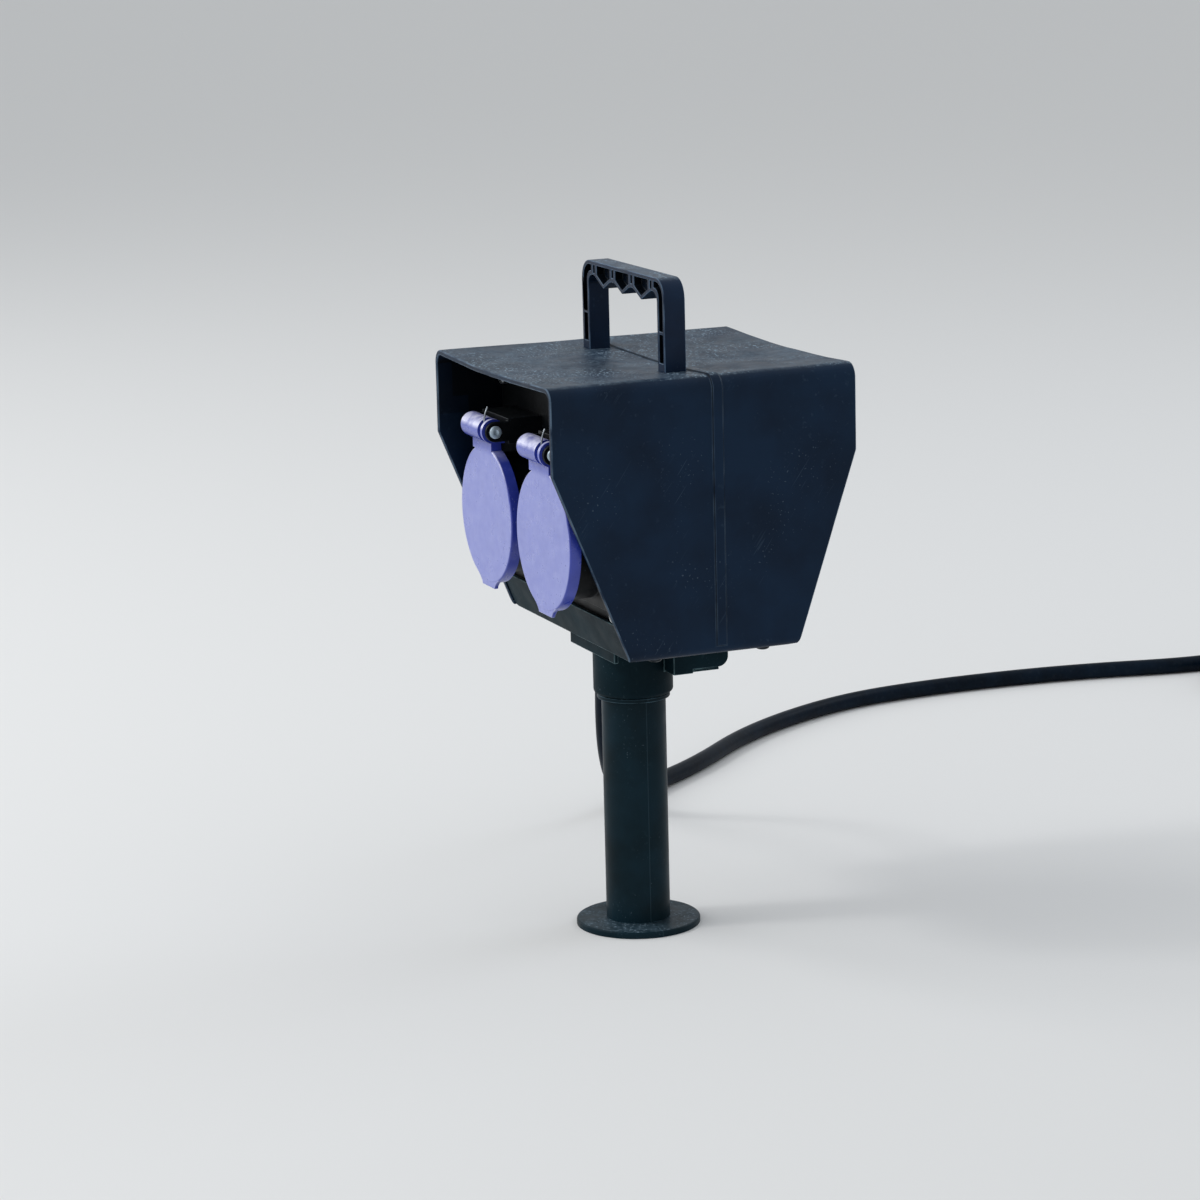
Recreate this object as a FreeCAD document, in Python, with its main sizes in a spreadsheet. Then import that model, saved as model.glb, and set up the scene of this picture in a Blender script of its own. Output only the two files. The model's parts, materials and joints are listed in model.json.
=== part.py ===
"""Garden socket spike: four lidded outlets under a slanted hood, on a post with a ground spike.

The origin is on the post's axis at ground level, under the ground flange.
The front pair of outlets looks along -Y, the rear pair along +Y, and +Z is up.
"""
import FreeCAD, Part
import Sketcher
import math
import os
import re

doc = FreeCAD.newDocument("garden_socket_spike")
sizes = doc.addObject("Spreadsheet::Sheet", "Sizes")

# Driving dimensions in millimetres
DRIVING = {
    # Hood: a sleeve that is open in front and behind, with slanted lower edges
    "hood_depth": 150,
    "hood_middle": 7.5,
    "hood_bottom": 144.6,
    "hood_rise": 128.4,
    "slant_rise": 88.4,
    "hood_foot_depth": 84,
    "hood_foot_shift": 2.8,
    "hood_wall": 2.5,
    "hood_corner": 6.5,
    "hood_foot_corner": 4,
    "hood_top_fall": 3.2,
    "hood_flange": 13,
    "ridge_middle": 13.2,
    "ridge_width": 5,
    "ridge_rise": 0.8,
    # Rails inside the hood that the panels are screwed to
    "rail_width": 8.5,
    "rail_depth": 6,
    "rail_below_screw": 8,
    # Clearances, and how far a cut runs past the face that it starts from
    "overrun": 2,
    "seat_gap": 0.3,
    "touch_gap": 0.1,
    "thread_play": 0.1,
    "hole_play": 0.5,
    # Carry handle
    "handle_width": 97,
    "handle_rise": 41,
    "handle_depth": 10.5,
    "handle_middle": 4,
    "handle_leg": 8,
    "handle_leg_drop": 1.5,
    "handle_bar": 6.6,
    "handle_corner": 9,
    "handle_inner_corner": 4.8,
    "handle_flange": 1.9,
    "handle_web": 2.4,
    "handle_ridge_drop": 5.3,
    "handle_slot_play": 0.15,
    "finger_margin": 6.9,
    "finger_radius": 10,
    "finger_end_radius": 4,
    "finger_slot": 1.8,
    "finger_rib": 2.5,
    "leg_web": 1.5,
    "leg_web_rise": 16.2,
    "leg_cell_rise": 2.5,
    # Base tray, its slanted lips, the collar and the terminal box under it
    "tray_play": 0.25,
    "tray_floor": 2.5,
    "lip_lift": 0.2,
    "lip_rise": 17.9,
    "lip_wall": 2.2,
    "lip_inset": 1,
    "lip_corner": 3,
    "collar_wall": 3.45,
    "collar_drop": 31.2,
    "collar_roof_rise": 0.9,
    "collar_round": 2,
    "post_fit": 0.2,
    "box_half_width": 28,
    "box_gap": 0.1,
    "box_nose": 10,
    "box_length": 18,
    "box_nose_drop": 19.2,
    "box_drop": 17.4,
    "box_round": 5,
    "box_wall": 2.2,
    "box_shoulder": 0.9,
    "cover_wall": 1.2,
    "cover_screw_across": 15,
    "cover_boss_radius": 3.2,
    "web_half_width": 27,
    "web_front": 20.6,
    "web_drop": 10.6,
    "web_wall": 2.2,
    "foot_screw_inset": 5,
    "foot_screw_margin": 15,
    "tray_boss_radius": 3.5,
    "tray_boss": 6,
    # Panels across the hood
    "panel_setback": 39.6,
    "panel_wall": 2.5,
    "panel_lap": 0.9,
    "panel_gap": 5,
    "panel_corner": 4.5,
    "panel_screw_margin": 5,
    "panel_screw_rise": 4.2,
    "panel_screw_drop": 10,
    # Socket outlets
    "outlet_middle": 4.5,
    "outlet_rise": 53.4,
    "recess_radius": 19.7,
    "recess_wall": 5.9,
    "ring_wall": 2.8,
    "ring_length": 19.5,
    "housing_margin": 1.1,
    "housing_margin_up": 2.1,
    "housing_corner": 6,
    "housing_flange": 3,
    "housing_screw_inset": 4,
    "block_half": 6,
    "block_step": 2.5,
    "insert_play": 0.2,
    "insert_step": 0.6,
    "insert_length": 33.5,
    "recess_depth": 17.5,
    "pin_spacing": 19,
    "pin_hole_radius": 2.75,
    "pin_hole_depth": 3,
    "sleeve_radius": 3.1,
    "sleeve_bore": 2.45,
    "sleeve_play": 0.1,
    "lug_size": 6,
    "lug_length": 6,
    "clip_width": 7,
    "clip_wall": 0.8,
    # Lids and hinges
    "lid_lift": 3.5,
    "lid_overlap": 3.15,
    "lid_spacing": 6.5,
    "lid_margin": 2.25,
    "lid_depth": 5.5,
    "lid_wall": 2.2,
    "lid_rim": 2,
    "lid_edge": 0.9,
    "neck_left": 14.6,
    "neck_right": 9.5,
    "barrel_round": 1.2,
    "neck_wall": 5,
    "tab_width": 9,
    "tab_drop": 1.8,
    "tab_corner": 1.2,
    "hinge_lift": 0.4,
    "hinge_rise": 8.75,
    "barrel_radius": 5.8,
    "barrel_left": 14.6,
    "barrel_right": 8.4,
    "spring_room": 3.6,
    "spring_clearance": 4.2,
    "rim_knuckle": 2.2,
    "ear_gap": 0.4,
    "ear_wall": 2.1,
    "far_ear_wall": 2.2,
    "ear_radius": 4.7,
    "pin_radius": 2,
    "pin_play": 0.06,
    "pin_fit": 0.02,
    "pin_head_radius": 3,
    "pin_head": 1.2,
    "pin_tail_radius": 2.6,
    "pin_tail": 0.8,
    "spring_wire": 0.8,
    "spring_radius": 3.1,
    "spring_pitch": 1.25,
    "spring_leg": 12,
    "seal_wall": 1,
    "seal_gap": 0.2,
    "seal_lap": 1.2,
    # Terminal block and the wires to the outlets
    "terminal_margin": 2,
    "terminal_gap": 2.5,
    "terminal_length": 11.5,
    "terminal_drop": 13,
    "lane_pitch": 3.6,
    "lane_inset": 2.5,
    "lane_step": 6,
    "wire_radius": 1.2,
    "wire_drop": 26,
    "core_spacing": 3,
    # Post, ring and ground spike
    "post_radius": 15.25,
    "post_wall": 2,
    "post_margin": 2.6,
    "post_ring": 2,
    "post_ring_lap": 2.05,
    "stub_play": 0.15,
    "stub_height": 26,
    "flange_radius": 29.6,
    "flange_wall": 3,
    "flange_round": 1.2,
    "spike_length": 155,
    "spike_half_width": 16,
    "spike_wall": 3.6,
    "spike_tip": 1.6,
    # Supply cable, its gland and its plug
    "cable_diameter": 9.2,
    "cable_drop": 8.6,
    "cable_inset": 8.5,
    "gland_thread": 6.9,
    "gland_inner": 22.4,
    "gland_radius": 9,
    "gland_flange": 6,
    "nut_length": 6,
    "nut_radius": 8.6,
    "nut_end_radius": 6.5,
    "relief_length": 24,
    "relief_radius": 7.2,
    "relief_end_radius": 5.2,
    "coil_turn_gap": 0.8,
    "coil_layer_gap": 0.6,
    "coil_radius": 60,
    "coil_turns": 2,
    "coil_lead": 50,
    "plug_lead": 27.6,
    "plug_radius": 18.5,
    "plug_length": 52,
    "plug_neck_radius": 6.4,
    "plug_neck": 14,
    "plug_neck_flare": 0.8,
    "plug_shoulder": 6,
    "plug_pin_radius": 2.4,
    "plug_pin_length": 19,
    # Screws: shank radius, head radius, head height and length under the head
    "panel_screw_shank": 1.2,
    "panel_screw_head_radius": 3,
    "panel_screw_head": 2,
    "panel_screw_length": 8,
    "socket_screw_shank": 1.2,
    "socket_screw_head_radius": 2.6,
    "socket_screw_head": 1.6,
    "socket_screw_length": 5.3,
    "tray_screw_shank": 1.4,
    "tray_screw_head_radius": 3.2,
    "tray_screw_head": 1.8,
    "tray_screw_length": 10,
    "cover_screw_shank": 1.2,
    "cover_screw_head_radius": 2.4,
    "cover_screw_head": 1.4,
    "cover_screw_length": 8,
    "handle_screw_shank": 1.5,
    "handle_screw_head_radius": 6.5,
    "handle_screw_head": 1.6,
    "handle_screw_length": 5,
    "collar_screw_shank": 1.7,
    "collar_screw_head_radius": 3.5,
    "collar_screw_head": 2.2,
    "collar_screw_length": 6.4,
    "collar_screw_rise": 8.6,
    "terminal_screw_shank": 1,
    "terminal_screw_head_radius": 1.6,
    "terminal_screw_head": 1.2,
    "terminal_screw_length": 4,
}

# Sizes worked out from the driving ones
DERIVED = {
    # Radii outward from the plug recess, and the spacing that the lids then need
    "ring_bore": "recess_radius + recess_wall",
    "ring_radius": "ring_bore + ring_wall",
    "seal_inner": "ring_bore + seal_gap",
    "seal_outer": "ring_radius + seal_lap",
    "lid_radius": "seal_outer + lid_overlap",
    "housing_half_width": "ring_radius + housing_margin",
    "housing_half_height": "ring_radius + housing_margin_up",
    "housing_screw_across": "housing_half_width - housing_screw_inset",
    "housing_screw_up": "housing_half_height - housing_screw_inset",
    "outlet_pitch": "2 * lid_radius + lid_spacing",
    "hood_width": "outlet_pitch + 2 * (lid_radius + lid_margin + hood_wall)",
    # Distances outward from the middle plane of the outlets
    "ring_reach": "panel_setback + ring_length",
    "block_reach": "ring_reach - block_step",
    "insert_reach": "ring_reach - insert_step",
    "insert_back": "insert_reach - insert_length",
    "lug_reach": "insert_back - lug_length",
    "lid_reach": "ring_reach + lid_lift",
    "hinge_reach": "lid_reach + hinge_lift",
    # Places along the hinge pin
    "rim_right": "barrel_right + spring_room + rim_knuckle",
    "ear_left": "rim_right + ear_gap",
    "ear_right": "ear_left + ear_wall",
    "far_ear_right": "barrel_left + ear_gap",
    "far_ear_left": "far_ear_right + far_ear_wall",
    # Heights above the ground
    "hood_top": "hood_bottom + hood_rise",
    "hood_kink": "hood_bottom + slant_rise",
    "outlet_height": "hood_bottom + outlet_rise",
    "hinge_height": "outlet_height + lid_radius + hinge_rise",
    "block_bottom": "hinge_height - block_half",
    "block_top": "hinge_height + block_half",
    "panel_bottom": "hood_bottom + lip_lift + lip_rise - panel_lap",
    "panel_top": "hood_top - panel_gap",
    "panel_screw_low": "panel_bottom + panel_screw_rise",
    "panel_screw_high": "panel_top - panel_screw_drop",
    "collar_bottom": "hood_bottom - collar_drop",
    "collar_roof": "hood_bottom + collar_roof_rise",
    "collar_screw_height": "collar_bottom + collar_screw_rise",
    "post_top": "hood_bottom - post_margin",
    "box_front_bottom": "hood_bottom - box_nose_drop",
    "box_bottom": "hood_bottom - box_drop",
    "web_bottom": "hood_bottom - web_drop",
    "cable_height": "hood_bottom - cable_drop",
    "terminal_bottom": "hood_bottom - terminal_drop",
    # Places across the hood and behind the post
    "panel_screw_across": "hood_width / 2 - hood_wall - panel_screw_margin",
    "post_ring_radius": "post_radius + post_ring_lap",
    "collar_radius": "post_radius + post_fit + collar_wall",
    "box_step": "collar_radius + box_gap",
    "box_front": "box_step - box_nose",
    "box_rear": "box_step + box_length",
    "cable_side": "box_step + cable_inset",
    "terminal_half_width": "2.5 * lane_pitch + terminal_margin",
    "terminal_front": "box_step + terminal_gap",
    "terminal_rear": "terminal_front + terminal_length",
    "lane_front": "terminal_front + lane_inset",
    "lane_rear": "lane_front + lane_step",
}


def put_sizes():
    """Write each size into the sheet under its own name, the derived ones as formulas."""
    cells = [(name, str(number)) for name, number in DRIVING.items()]
    cells += [(name, "=" + rule) for name, rule in DERIVED.items()]
    for row, (name, content) in enumerate(cells, start=1):
        sizes.set(f"A{row}", name.replace("_", " "))
        sizes.setAlias(f"B{row}", name)
        sizes.set(f"B{row}", content)
    doc.recompute()


put_sizes()

WORD = re.compile(r"[a-z][a-z_]*")
SIZE_NAMES = {*DRIVING, *DERIVED}


def in_sheet(rule):
    """The same rule with each size's name pointed at the sheet."""
    return WORD.sub(
        lambda word: "Sizes." + word.group() if word.group() in SIZE_NAMES else word.group(), rule)


def value(rule):
    """What a rule comes to with the sheet's present sizes."""
    return float(sizes.evalExpression(rule))


def tie(thing, field, rule):
    """Bind a property of an object to a rule on the sheet's sizes."""
    thing.setExpression(field, in_sheet(rule))


# Rules that several pieces share
HALF_WIDTH = "(hood_width / 2)"
FRONT = "(hood_middle - hood_depth / 2)"
REAR = "(hood_middle + hood_depth / 2)"
FOOT_FRONT = "(hood_middle + hood_foot_shift - hood_foot_depth / 2)"
FOOT_REAR = "(hood_middle + hood_foot_shift + hood_foot_depth / 2)"
FRONT_SLOPE = f"(({FOOT_FRONT} - {FRONT}) / (hood_kink - hood_bottom))"
REAR_SLOPE = f"(({REAR} - {FOOT_REAR}) / (hood_kink - hood_bottom))"
INNER_HALF = f"({HALF_WIDTH} - hood_wall)"
FALL_RADIUS = "(0.2 * hood_width * hood_width / hood_top_fall)"
TRAY_HALF = f"({INNER_HALF} - tray_play)"
FLOOR_LOW = "(hood_bottom + hood_wall + touch_gap)"
FLOOR_HIGH = f"({FLOOR_LOW} + tray_floor)"
LIP_LOW = "(hood_bottom + lip_lift)"
LIP_TOP = f"({LIP_LOW} + lip_rise)"
FOOT_MIDDLE = "(hood_middle + hood_foot_shift)"
TRAY_SCREW_ACROSS = f"({HALF_WIDTH} - hood_flange + foot_screw_inset)"
TRAY_SCREW_ALONG = "(hood_foot_depth / 2 - foot_screw_margin)"
TRAY_SCREW_SPOTS = [
    (f"{side} * {TRAY_SCREW_ACROSS}", f"{FOOT_MIDDLE} + {end} * {TRAY_SCREW_ALONG}")
    for side in ("-1", "1") for end in ("-1", "1")
]
HINGE_UP = "(hinge_height - outlet_height)"


# Helpers for bodies, sketches and features

def new_body(name):
    """A body whose label is the node's name."""
    body = doc.addObject("PartDesign::Body", name)
    body.Label = name
    return body


def new_sketch(body, name, plane, offset="0"):
    """A sketch on one of the body's own origin planes, moved along the plane's normal."""
    sketch = body.newObject("Sketcher::SketchObject", name)
    support = [feature for feature in body.Origin.OriginFeatures if feature.Role == plane][0]
    sketch.AttachmentSupport = (support, [""])
    sketch.MapMode = "FlatFace"
    tie(sketch, "AttachmentOffset.Base.z", offset)
    return sketch


def hold_point(sketch, geometry, vertex, across, up):
    """Fix a point of the sketch at two rules."""
    for kind, rule in (("DistanceX", across), ("DistanceY", up)):
        number = value(rule)
        index = sketch.addConstraint(Sketcher.Constraint(kind, -1, 1, geometry, vertex, number))
        sketch.setExpression(f"Constraints[{index}]", in_sheet(rule))


def add_circle(sketch, across, up, radius):
    """A full circle held by its centre and radius."""
    centre = FreeCAD.Vector(value(across), value(up), 0)
    circle = sketch.addGeometry(Part.Circle(centre, FreeCAD.Vector(0, 0, 1), value(radius)), False)
    hold_point(sketch, circle, 3, across, up)
    index = sketch.addConstraint(Sketcher.Constraint("Radius", circle, value(radius)))
    sketch.setExpression(f"Constraints[{index}]", in_sheet(radius))


def round_corner(before, corner, after, radius):
    """Where a rounding starts and ends at a corner, and the centre of its arc."""
    back = (before - corner).normalize()
    ahead = (after - corner).normalize()
    half = back.getAngle(ahead) / 2
    reach = radius / math.tan(half)
    bisector = (back + ahead).normalize()
    centre = corner + bisector * (radius / math.sin(half))
    return corner + back * reach, centre, corner + ahead * reach


def add_arc(sketch, start, centre, end):
    """The short arc between two points, drawn anticlockwise, and which of its ends is the start."""
    first = start - centre
    last = end - centre
    anticlockwise = first.cross(last).z > 0
    low, high = (first, last) if anticlockwise else (last, first)
    circle = Part.Circle(centre, FreeCAD.Vector(0, 0, 1), first.Length)
    low_angle = math.atan2(low.y, low.x)
    high_angle = math.atan2(high.y, high.x)
    arc = sketch.addGeometry(Part.ArcOfCircle(circle, low_angle, high_angle), False)
    return arc, 1 if anticlockwise else 2


def add_outline(sketch, corners):
    """A closed outline. Each corner is two rules and, where it is rounded, a radius rule."""
    count = len(corners)
    spots = [FreeCAD.Vector(value(corner[0]), value(corner[1]), 0) for corner in corners]
    rounds = []
    for i, corner in enumerate(corners):
        if len(corner) == 3:
            rounds.append(round_corner(spots[i - 1], spots[i], spots[(i + 1) % count], value(corner[2])))
        else:
            rounds.append(None)
    lines = []
    for i in range(count):
        after = (i + 1) % count
        start = rounds[i][2] if rounds[i] else spots[i]
        end = rounds[after][0] if rounds[after] else spots[after]
        lines.append(sketch.addGeometry(Part.LineSegment(start, end), False))
    for i, corner in enumerate(corners):
        line_in = lines[i - 1]
        line_out = lines[i]
        if rounds[i] is None:
            sketch.addConstraint(Sketcher.Constraint("Coincident", line_in, 2, line_out, 1))
            hold_point(sketch, line_out, 1, corner[0], corner[1])
            continue
        start, centre, end = rounds[i]
        arc, first = add_arc(sketch, start, centre, end)
        sketch.addConstraint(Sketcher.Constraint("Tangent", line_in, 2, arc, first))
        sketch.addConstraint(Sketcher.Constraint("Tangent", arc, 3 - first, line_out, 1))
        index = sketch.addConstraint(Sketcher.Constraint("Radius", arc, value(corner[2])))
        sketch.setExpression(f"Constraints[{index}]", in_sheet(corner[2]))
        spot = sketch.addGeometry(Part.Point(spots[i]), True)
        hold_point(sketch, spot, 1, corner[0], corner[1])
        sketch.addConstraint(Sketcher.Constraint("PointOnObject", spot, 1, line_in))
        sketch.addConstraint(Sketcher.Constraint("PointOnObject", spot, 1, line_out))


def add_box(sketch, left, low, right, high, corner=None):
    """A rectangle between two corners, rounded where a radius is given."""
    spots = [(left, low), (right, low), (right, high), (left, high)]
    if corner:
        spots = [spot + (corner,) for spot in spots]
    add_outline(sketch, spots)


def sweep_out(body, kind, name, sketch, length, backwards=False, both_ways=False):
    """A Pad or Pocket of a sketch, along its normal, against it or both ways."""
    feature = body.newObject(f"PartDesign::{kind}", name)
    feature.Profile = sketch
    tie(feature, "Length", length)
    feature.Reversed = backwards
    if both_ways:
        feature.SideType = "Symmetric"
    doc.recompute()
    return feature


def pad(body, name, sketch, length, backwards=False, both_ways=False):
    return sweep_out(body, "Pad", name, sketch, length, backwards, both_ways)


def pocket(body, name, sketch, length, backwards=False, both_ways=False):
    """A Pocket that must take material away."""
    before = body.Shape.Volume
    feature = sweep_out(body, "Pocket", name, sketch, length, backwards, both_ways)
    if body.Shape.Volume > before - 0.01:
        print("cuts nothing:", body.Label, name)
    return feature


def revolve(body, name, sketch, kind="Revolution", axis="V_Axis"):
    """A full turn of a sketch about one of its own axes."""
    feature = body.newObject(f"PartDesign::{kind}", name)
    feature.Profile = sketch
    feature.ReferenceAxis = (sketch, [axis])
    feature.Angle = 360
    doc.recompute()
    return feature


def round_edges(body, name, picked, radius):
    """A fillet along the edges of the body's present shape that a test picks."""
    base = body.Tip
    edges = [f"Edge{i + 1}" for i, edge in enumerate(base.Shape.Edges) if picked(edge)]
    feature = body.newObject("PartDesign::Fillet", name)
    feature.Base = (base, edges)
    tie(feature, "Radius", radius)
    doc.recompute()
    return feature


def near(one, other):
    return abs(one - other) < 0.001


def drum(name, radius, height, base, turn=None):
    """A plain cylinder along Z, or along another axis where a turn is given."""
    cylinder = doc.addObject("Part::Cylinder", name)
    tie(cylinder, "Radius", radius)
    tie(cylinder, "Height", height)
    if turn:
        cylinder.Placement = FreeCAD.Placement(FreeCAD.Vector(), turn)
    for axis, rule in zip("xyz", base):
        tie(cylinder, f"Placement.Base.{axis}", rule)
    return cylinder


def joined(name, pieces):
    """One boolean union, or a group of separate solids where they don't meet."""
    fuse = doc.addObject("Part::MultiFuse", name)
    fuse.Shapes = pieces
    fuse.Label = name
    return fuse


def group(name, shapes):
    """Separate solids kept in one node."""
    feature = doc.addObject("Part::Feature", name)
    feature.Shape = Part.makeCompound(shapes)
    feature.Label = name
    return feature


UP = FreeCAD.Vector(0, 0, 1)
ALONG_X = FreeCAD.Rotation(FreeCAD.Vector(0, 1, 0), 90)
ALONG_Y = FreeCAD.Rotation(FreeCAD.Vector(1, 0, 0), -90)
AWAY_Y = FreeCAD.Rotation(FreeCAD.Vector(1, 0, 0), 90)


# Hood

def make_hood():
    """Sleeve with a sagging top, turned-in feet, a parting ridge and four inner rails."""
    body = new_body("hood_shell")
    top_outer = "hood_top"
    top_inner = "(hood_top - hood_wall)"
    foot_end = f"({HALF_WIDTH} - hood_flange)"
    inner_corner = "(hood_corner - hood_wall)"

    section = new_sketch(body, "hood_section", "XZ_Plane", "-hood_middle")
    add_outline(section, [
        (f"-{foot_end}", "hood_bottom"),
        (f"-{HALF_WIDTH}", "hood_bottom", "hood_foot_corner"),
        (f"-{HALF_WIDTH}", top_outer, "hood_corner"),
        ("0", f"{top_outer} - hood_top_fall", FALL_RADIUS),
        (HALF_WIDTH, top_outer, "hood_corner"),
        (HALF_WIDTH, "hood_bottom", "hood_foot_corner"),
        (foot_end, "hood_bottom"),
        (foot_end, "hood_bottom + hood_wall"),
        (INNER_HALF, "hood_bottom + hood_wall"),
        (INNER_HALF, top_inner, inner_corner),
        ("0", f"{top_inner} - hood_top_fall", FALL_RADIUS),
        (f"-{INNER_HALF}", top_inner, inner_corner),
        (f"-{INNER_HALF}", "hood_bottom + hood_wall"),
        (f"-{foot_end}", "hood_bottom + hood_wall"),
    ])
    pad(body, "hood_sleeve", section, "hood_depth", both_ways=True)

    ridge = new_sketch(body, "ridge_section", "XZ_Plane", "-ridge_middle")
    rise_half = f"({HALF_WIDTH} + ridge_rise)"
    sunk = f"({HALF_WIDTH} - hood_wall / 2)"
    sunk_top = "(hood_top - hood_wall / 2)"
    add_outline(ridge, [
        (f"-{rise_half}", "hood_bottom + hood_foot_corner"),
        (f"-{rise_half}", "hood_top + ridge_rise", "hood_corner + ridge_rise"),
        ("0", "hood_top + ridge_rise - hood_top_fall", FALL_RADIUS),
        (rise_half, "hood_top + ridge_rise", "hood_corner + ridge_rise"),
        (rise_half, "hood_bottom + hood_foot_corner"),
        (sunk, "hood_bottom + hood_foot_corner"),
        (sunk, sunk_top, "hood_corner - hood_wall / 2"),
        ("0", f"{sunk_top} - hood_top_fall", FALL_RADIUS),
        (f"-{sunk}", sunk_top, "hood_corner - hood_wall / 2"),
        (f"-{sunk}", "hood_bottom + hood_foot_corner"),
    ])
    pad(body, "parting_ridge", ridge, "ridge_width", both_ways=True)

    rail_low = "(panel_screw_low - rail_below_screw)"
    rails = new_sketch(body, "rail_plan", "XY_Plane", rail_low)
    for side in ("-1", "1"):
        for end in ("-1", "1"):
            inner = f"{side} * ({INNER_HALF} - rail_width)"
            outer = f"{side} * ({INNER_HALF} + hood_wall / 2)"
            face = f"outlet_middle + {end} * (panel_setback - panel_wall)"
            back = f"outlet_middle + {end} * (panel_setback - panel_wall - rail_depth)"
            add_box(rails, inner, face, outer, back)
    pad(body, "panel_rails", rails, f"hood_top - hood_wall / 2 - {rail_low}")

    slants = new_sketch(body, "slant_cut", "YZ_Plane")
    below = "hood_bottom - overrun"
    for edge, foot, outward in ((FRONT, FOOT_FRONT, "-1"), (REAR, FOOT_REAR, "1")):
        outside = f"{edge} + {outward} * overrun"
        add_outline(slants, [
            (outside, "hood_kink"), (edge, "hood_kink"), (foot, "hood_bottom"),
            (foot, below), (outside, below),
        ])
    pocket(body, "slants", slants, "2 * hood_width", both_ways=True)

    ends = new_sketch(body, "flange_ends", "XY_Plane", "hood_bottom - overrun")
    reach = "(lip_inset + lip_wall + seat_gap)"
    inside = f"({INNER_HALF} + touch_gap)"
    add_box(ends, f"-{inside}", f"{FOOT_FRONT} - overrun", inside, f"{FOOT_FRONT} + {reach}")
    add_box(ends, f"-{inside}", f"{FOOT_REAR} - {reach}", inside, f"{FOOT_REAR} + overrun")
    pocket(body, "room_for_lips", ends, "hood_wall + overrun + touch_gap", backwards=True)

    slots = new_sketch(body, "handle_slots", "XY_Plane", "hood_top + overrun")
    for side in ("-1", "1"):
        outer = f"{side} * (handle_width / 2 + handle_slot_play)"
        inner = f"{side} * (handle_width / 2 - handle_leg - handle_slot_play)"
        half = "(handle_depth / 2 + handle_slot_play)"
        add_box(slots, inner, f"handle_middle - {half}", outer, f"handle_middle + {half}")
    pocket(body, "leg_slots", slots, "hood_wall + hood_top_fall + 2 * overrun")

    screws = new_sketch(body, "rail_holes", "XZ_Plane")
    for side in ("-1", "1"):
        for level in ("panel_screw_low", "panel_screw_high"):
            add_circle(screws, f"{side} * panel_screw_across", level, "panel_screw_shank + thread_play")
    pocket(body, "rail_bores", screws, "2 * hood_depth", both_ways=True)

    feet = new_sketch(body, "foot_holes", "XY_Plane", "hood_bottom - overrun")
    for across, along in TRAY_SCREW_SPOTS:
        add_circle(feet, across, along, "tray_screw_shank + hole_play")
    pocket(body, "foot_bores", feet, "hood_wall + 2 * overrun", backwards=True)
    return body


# Carry handle

HANDLE_TOP = "(hood_top + handle_rise)"
HANDLE_HALF = "(handle_width / 2)"
HANDLE_INNER = f"({HANDLE_HALF} - handle_leg)"
HANDLE_END = "(hood_top - hood_wall - handle_leg_drop)"
VALLEY = f"({HANDLE_TOP} - handle_bar)"
RIDGE_TIP = f"({VALLEY} - handle_ridge_drop)"
FINGER = f"(({HANDLE_INNER} - finger_margin) / 1.5)"
LEG_MIDDLE = f"({HANDLE_HALF} - handle_leg / 2)"


def handle_cells(sketch):
    """The hollow cells of one face: under each ridge, between paired ribs and down both legs."""
    cell_top = f"{HANDLE_TOP} - handle_flange"
    half_cell = f"({FINGER} / 2 - finger_slot / 2 - finger_rib)"
    cell_tip = f"({RIDGE_TIP} + handle_flange)"
    cell_side = f"{cell_tip} + {half_cell} * handle_ridge_drop / ({FINGER} / 2)"
    for step in ("-1", "0", "1"):
        middle = f"{step} * {FINGER}"
        add_outline(sketch, [
            (f"{middle} - {half_cell}", cell_top), (f"{middle} - {half_cell}", cell_side),
            (middle, cell_tip),
            (f"{middle} + {half_cell}", cell_side), (f"{middle} + {half_cell}", cell_top),
        ])
    for step in ("-1.5", "-0.5", "0.5", "1.5"):
        middle = f"{step} * {FINGER}"
        add_box(sketch, f"{middle} - finger_slot / 2", f"{VALLEY} + handle_flange / 2",
                f"{middle} + finger_slot / 2", cell_top)
    cross = "(hood_top + leg_web_rise)"
    for side in ("-1", "1"):
        last_rib = f"{side} * (1.5 * {FINGER} + finger_slot / 2 + finger_rib)"
        inner = f"{side} * ({HANDLE_INNER} + handle_flange)"
        outer = f"{side} * ({HANDLE_HALF} - handle_flange)"
        add_outline(sketch, [
            (last_rib, cell_top),
            (outer, cell_top, "handle_corner - handle_flange"),
            (outer, f"{cross} + leg_web / 2"),
            (inner, f"{cross} + leg_web / 2"),
            (inner, f"{VALLEY} + handle_flange", "handle_inner_corner"),
            (last_rib, f"{VALLEY} + handle_flange"),
        ])
        add_box(sketch, inner, "hood_top + leg_cell_rise", outer, f"{cross} - leg_web / 2")


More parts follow.
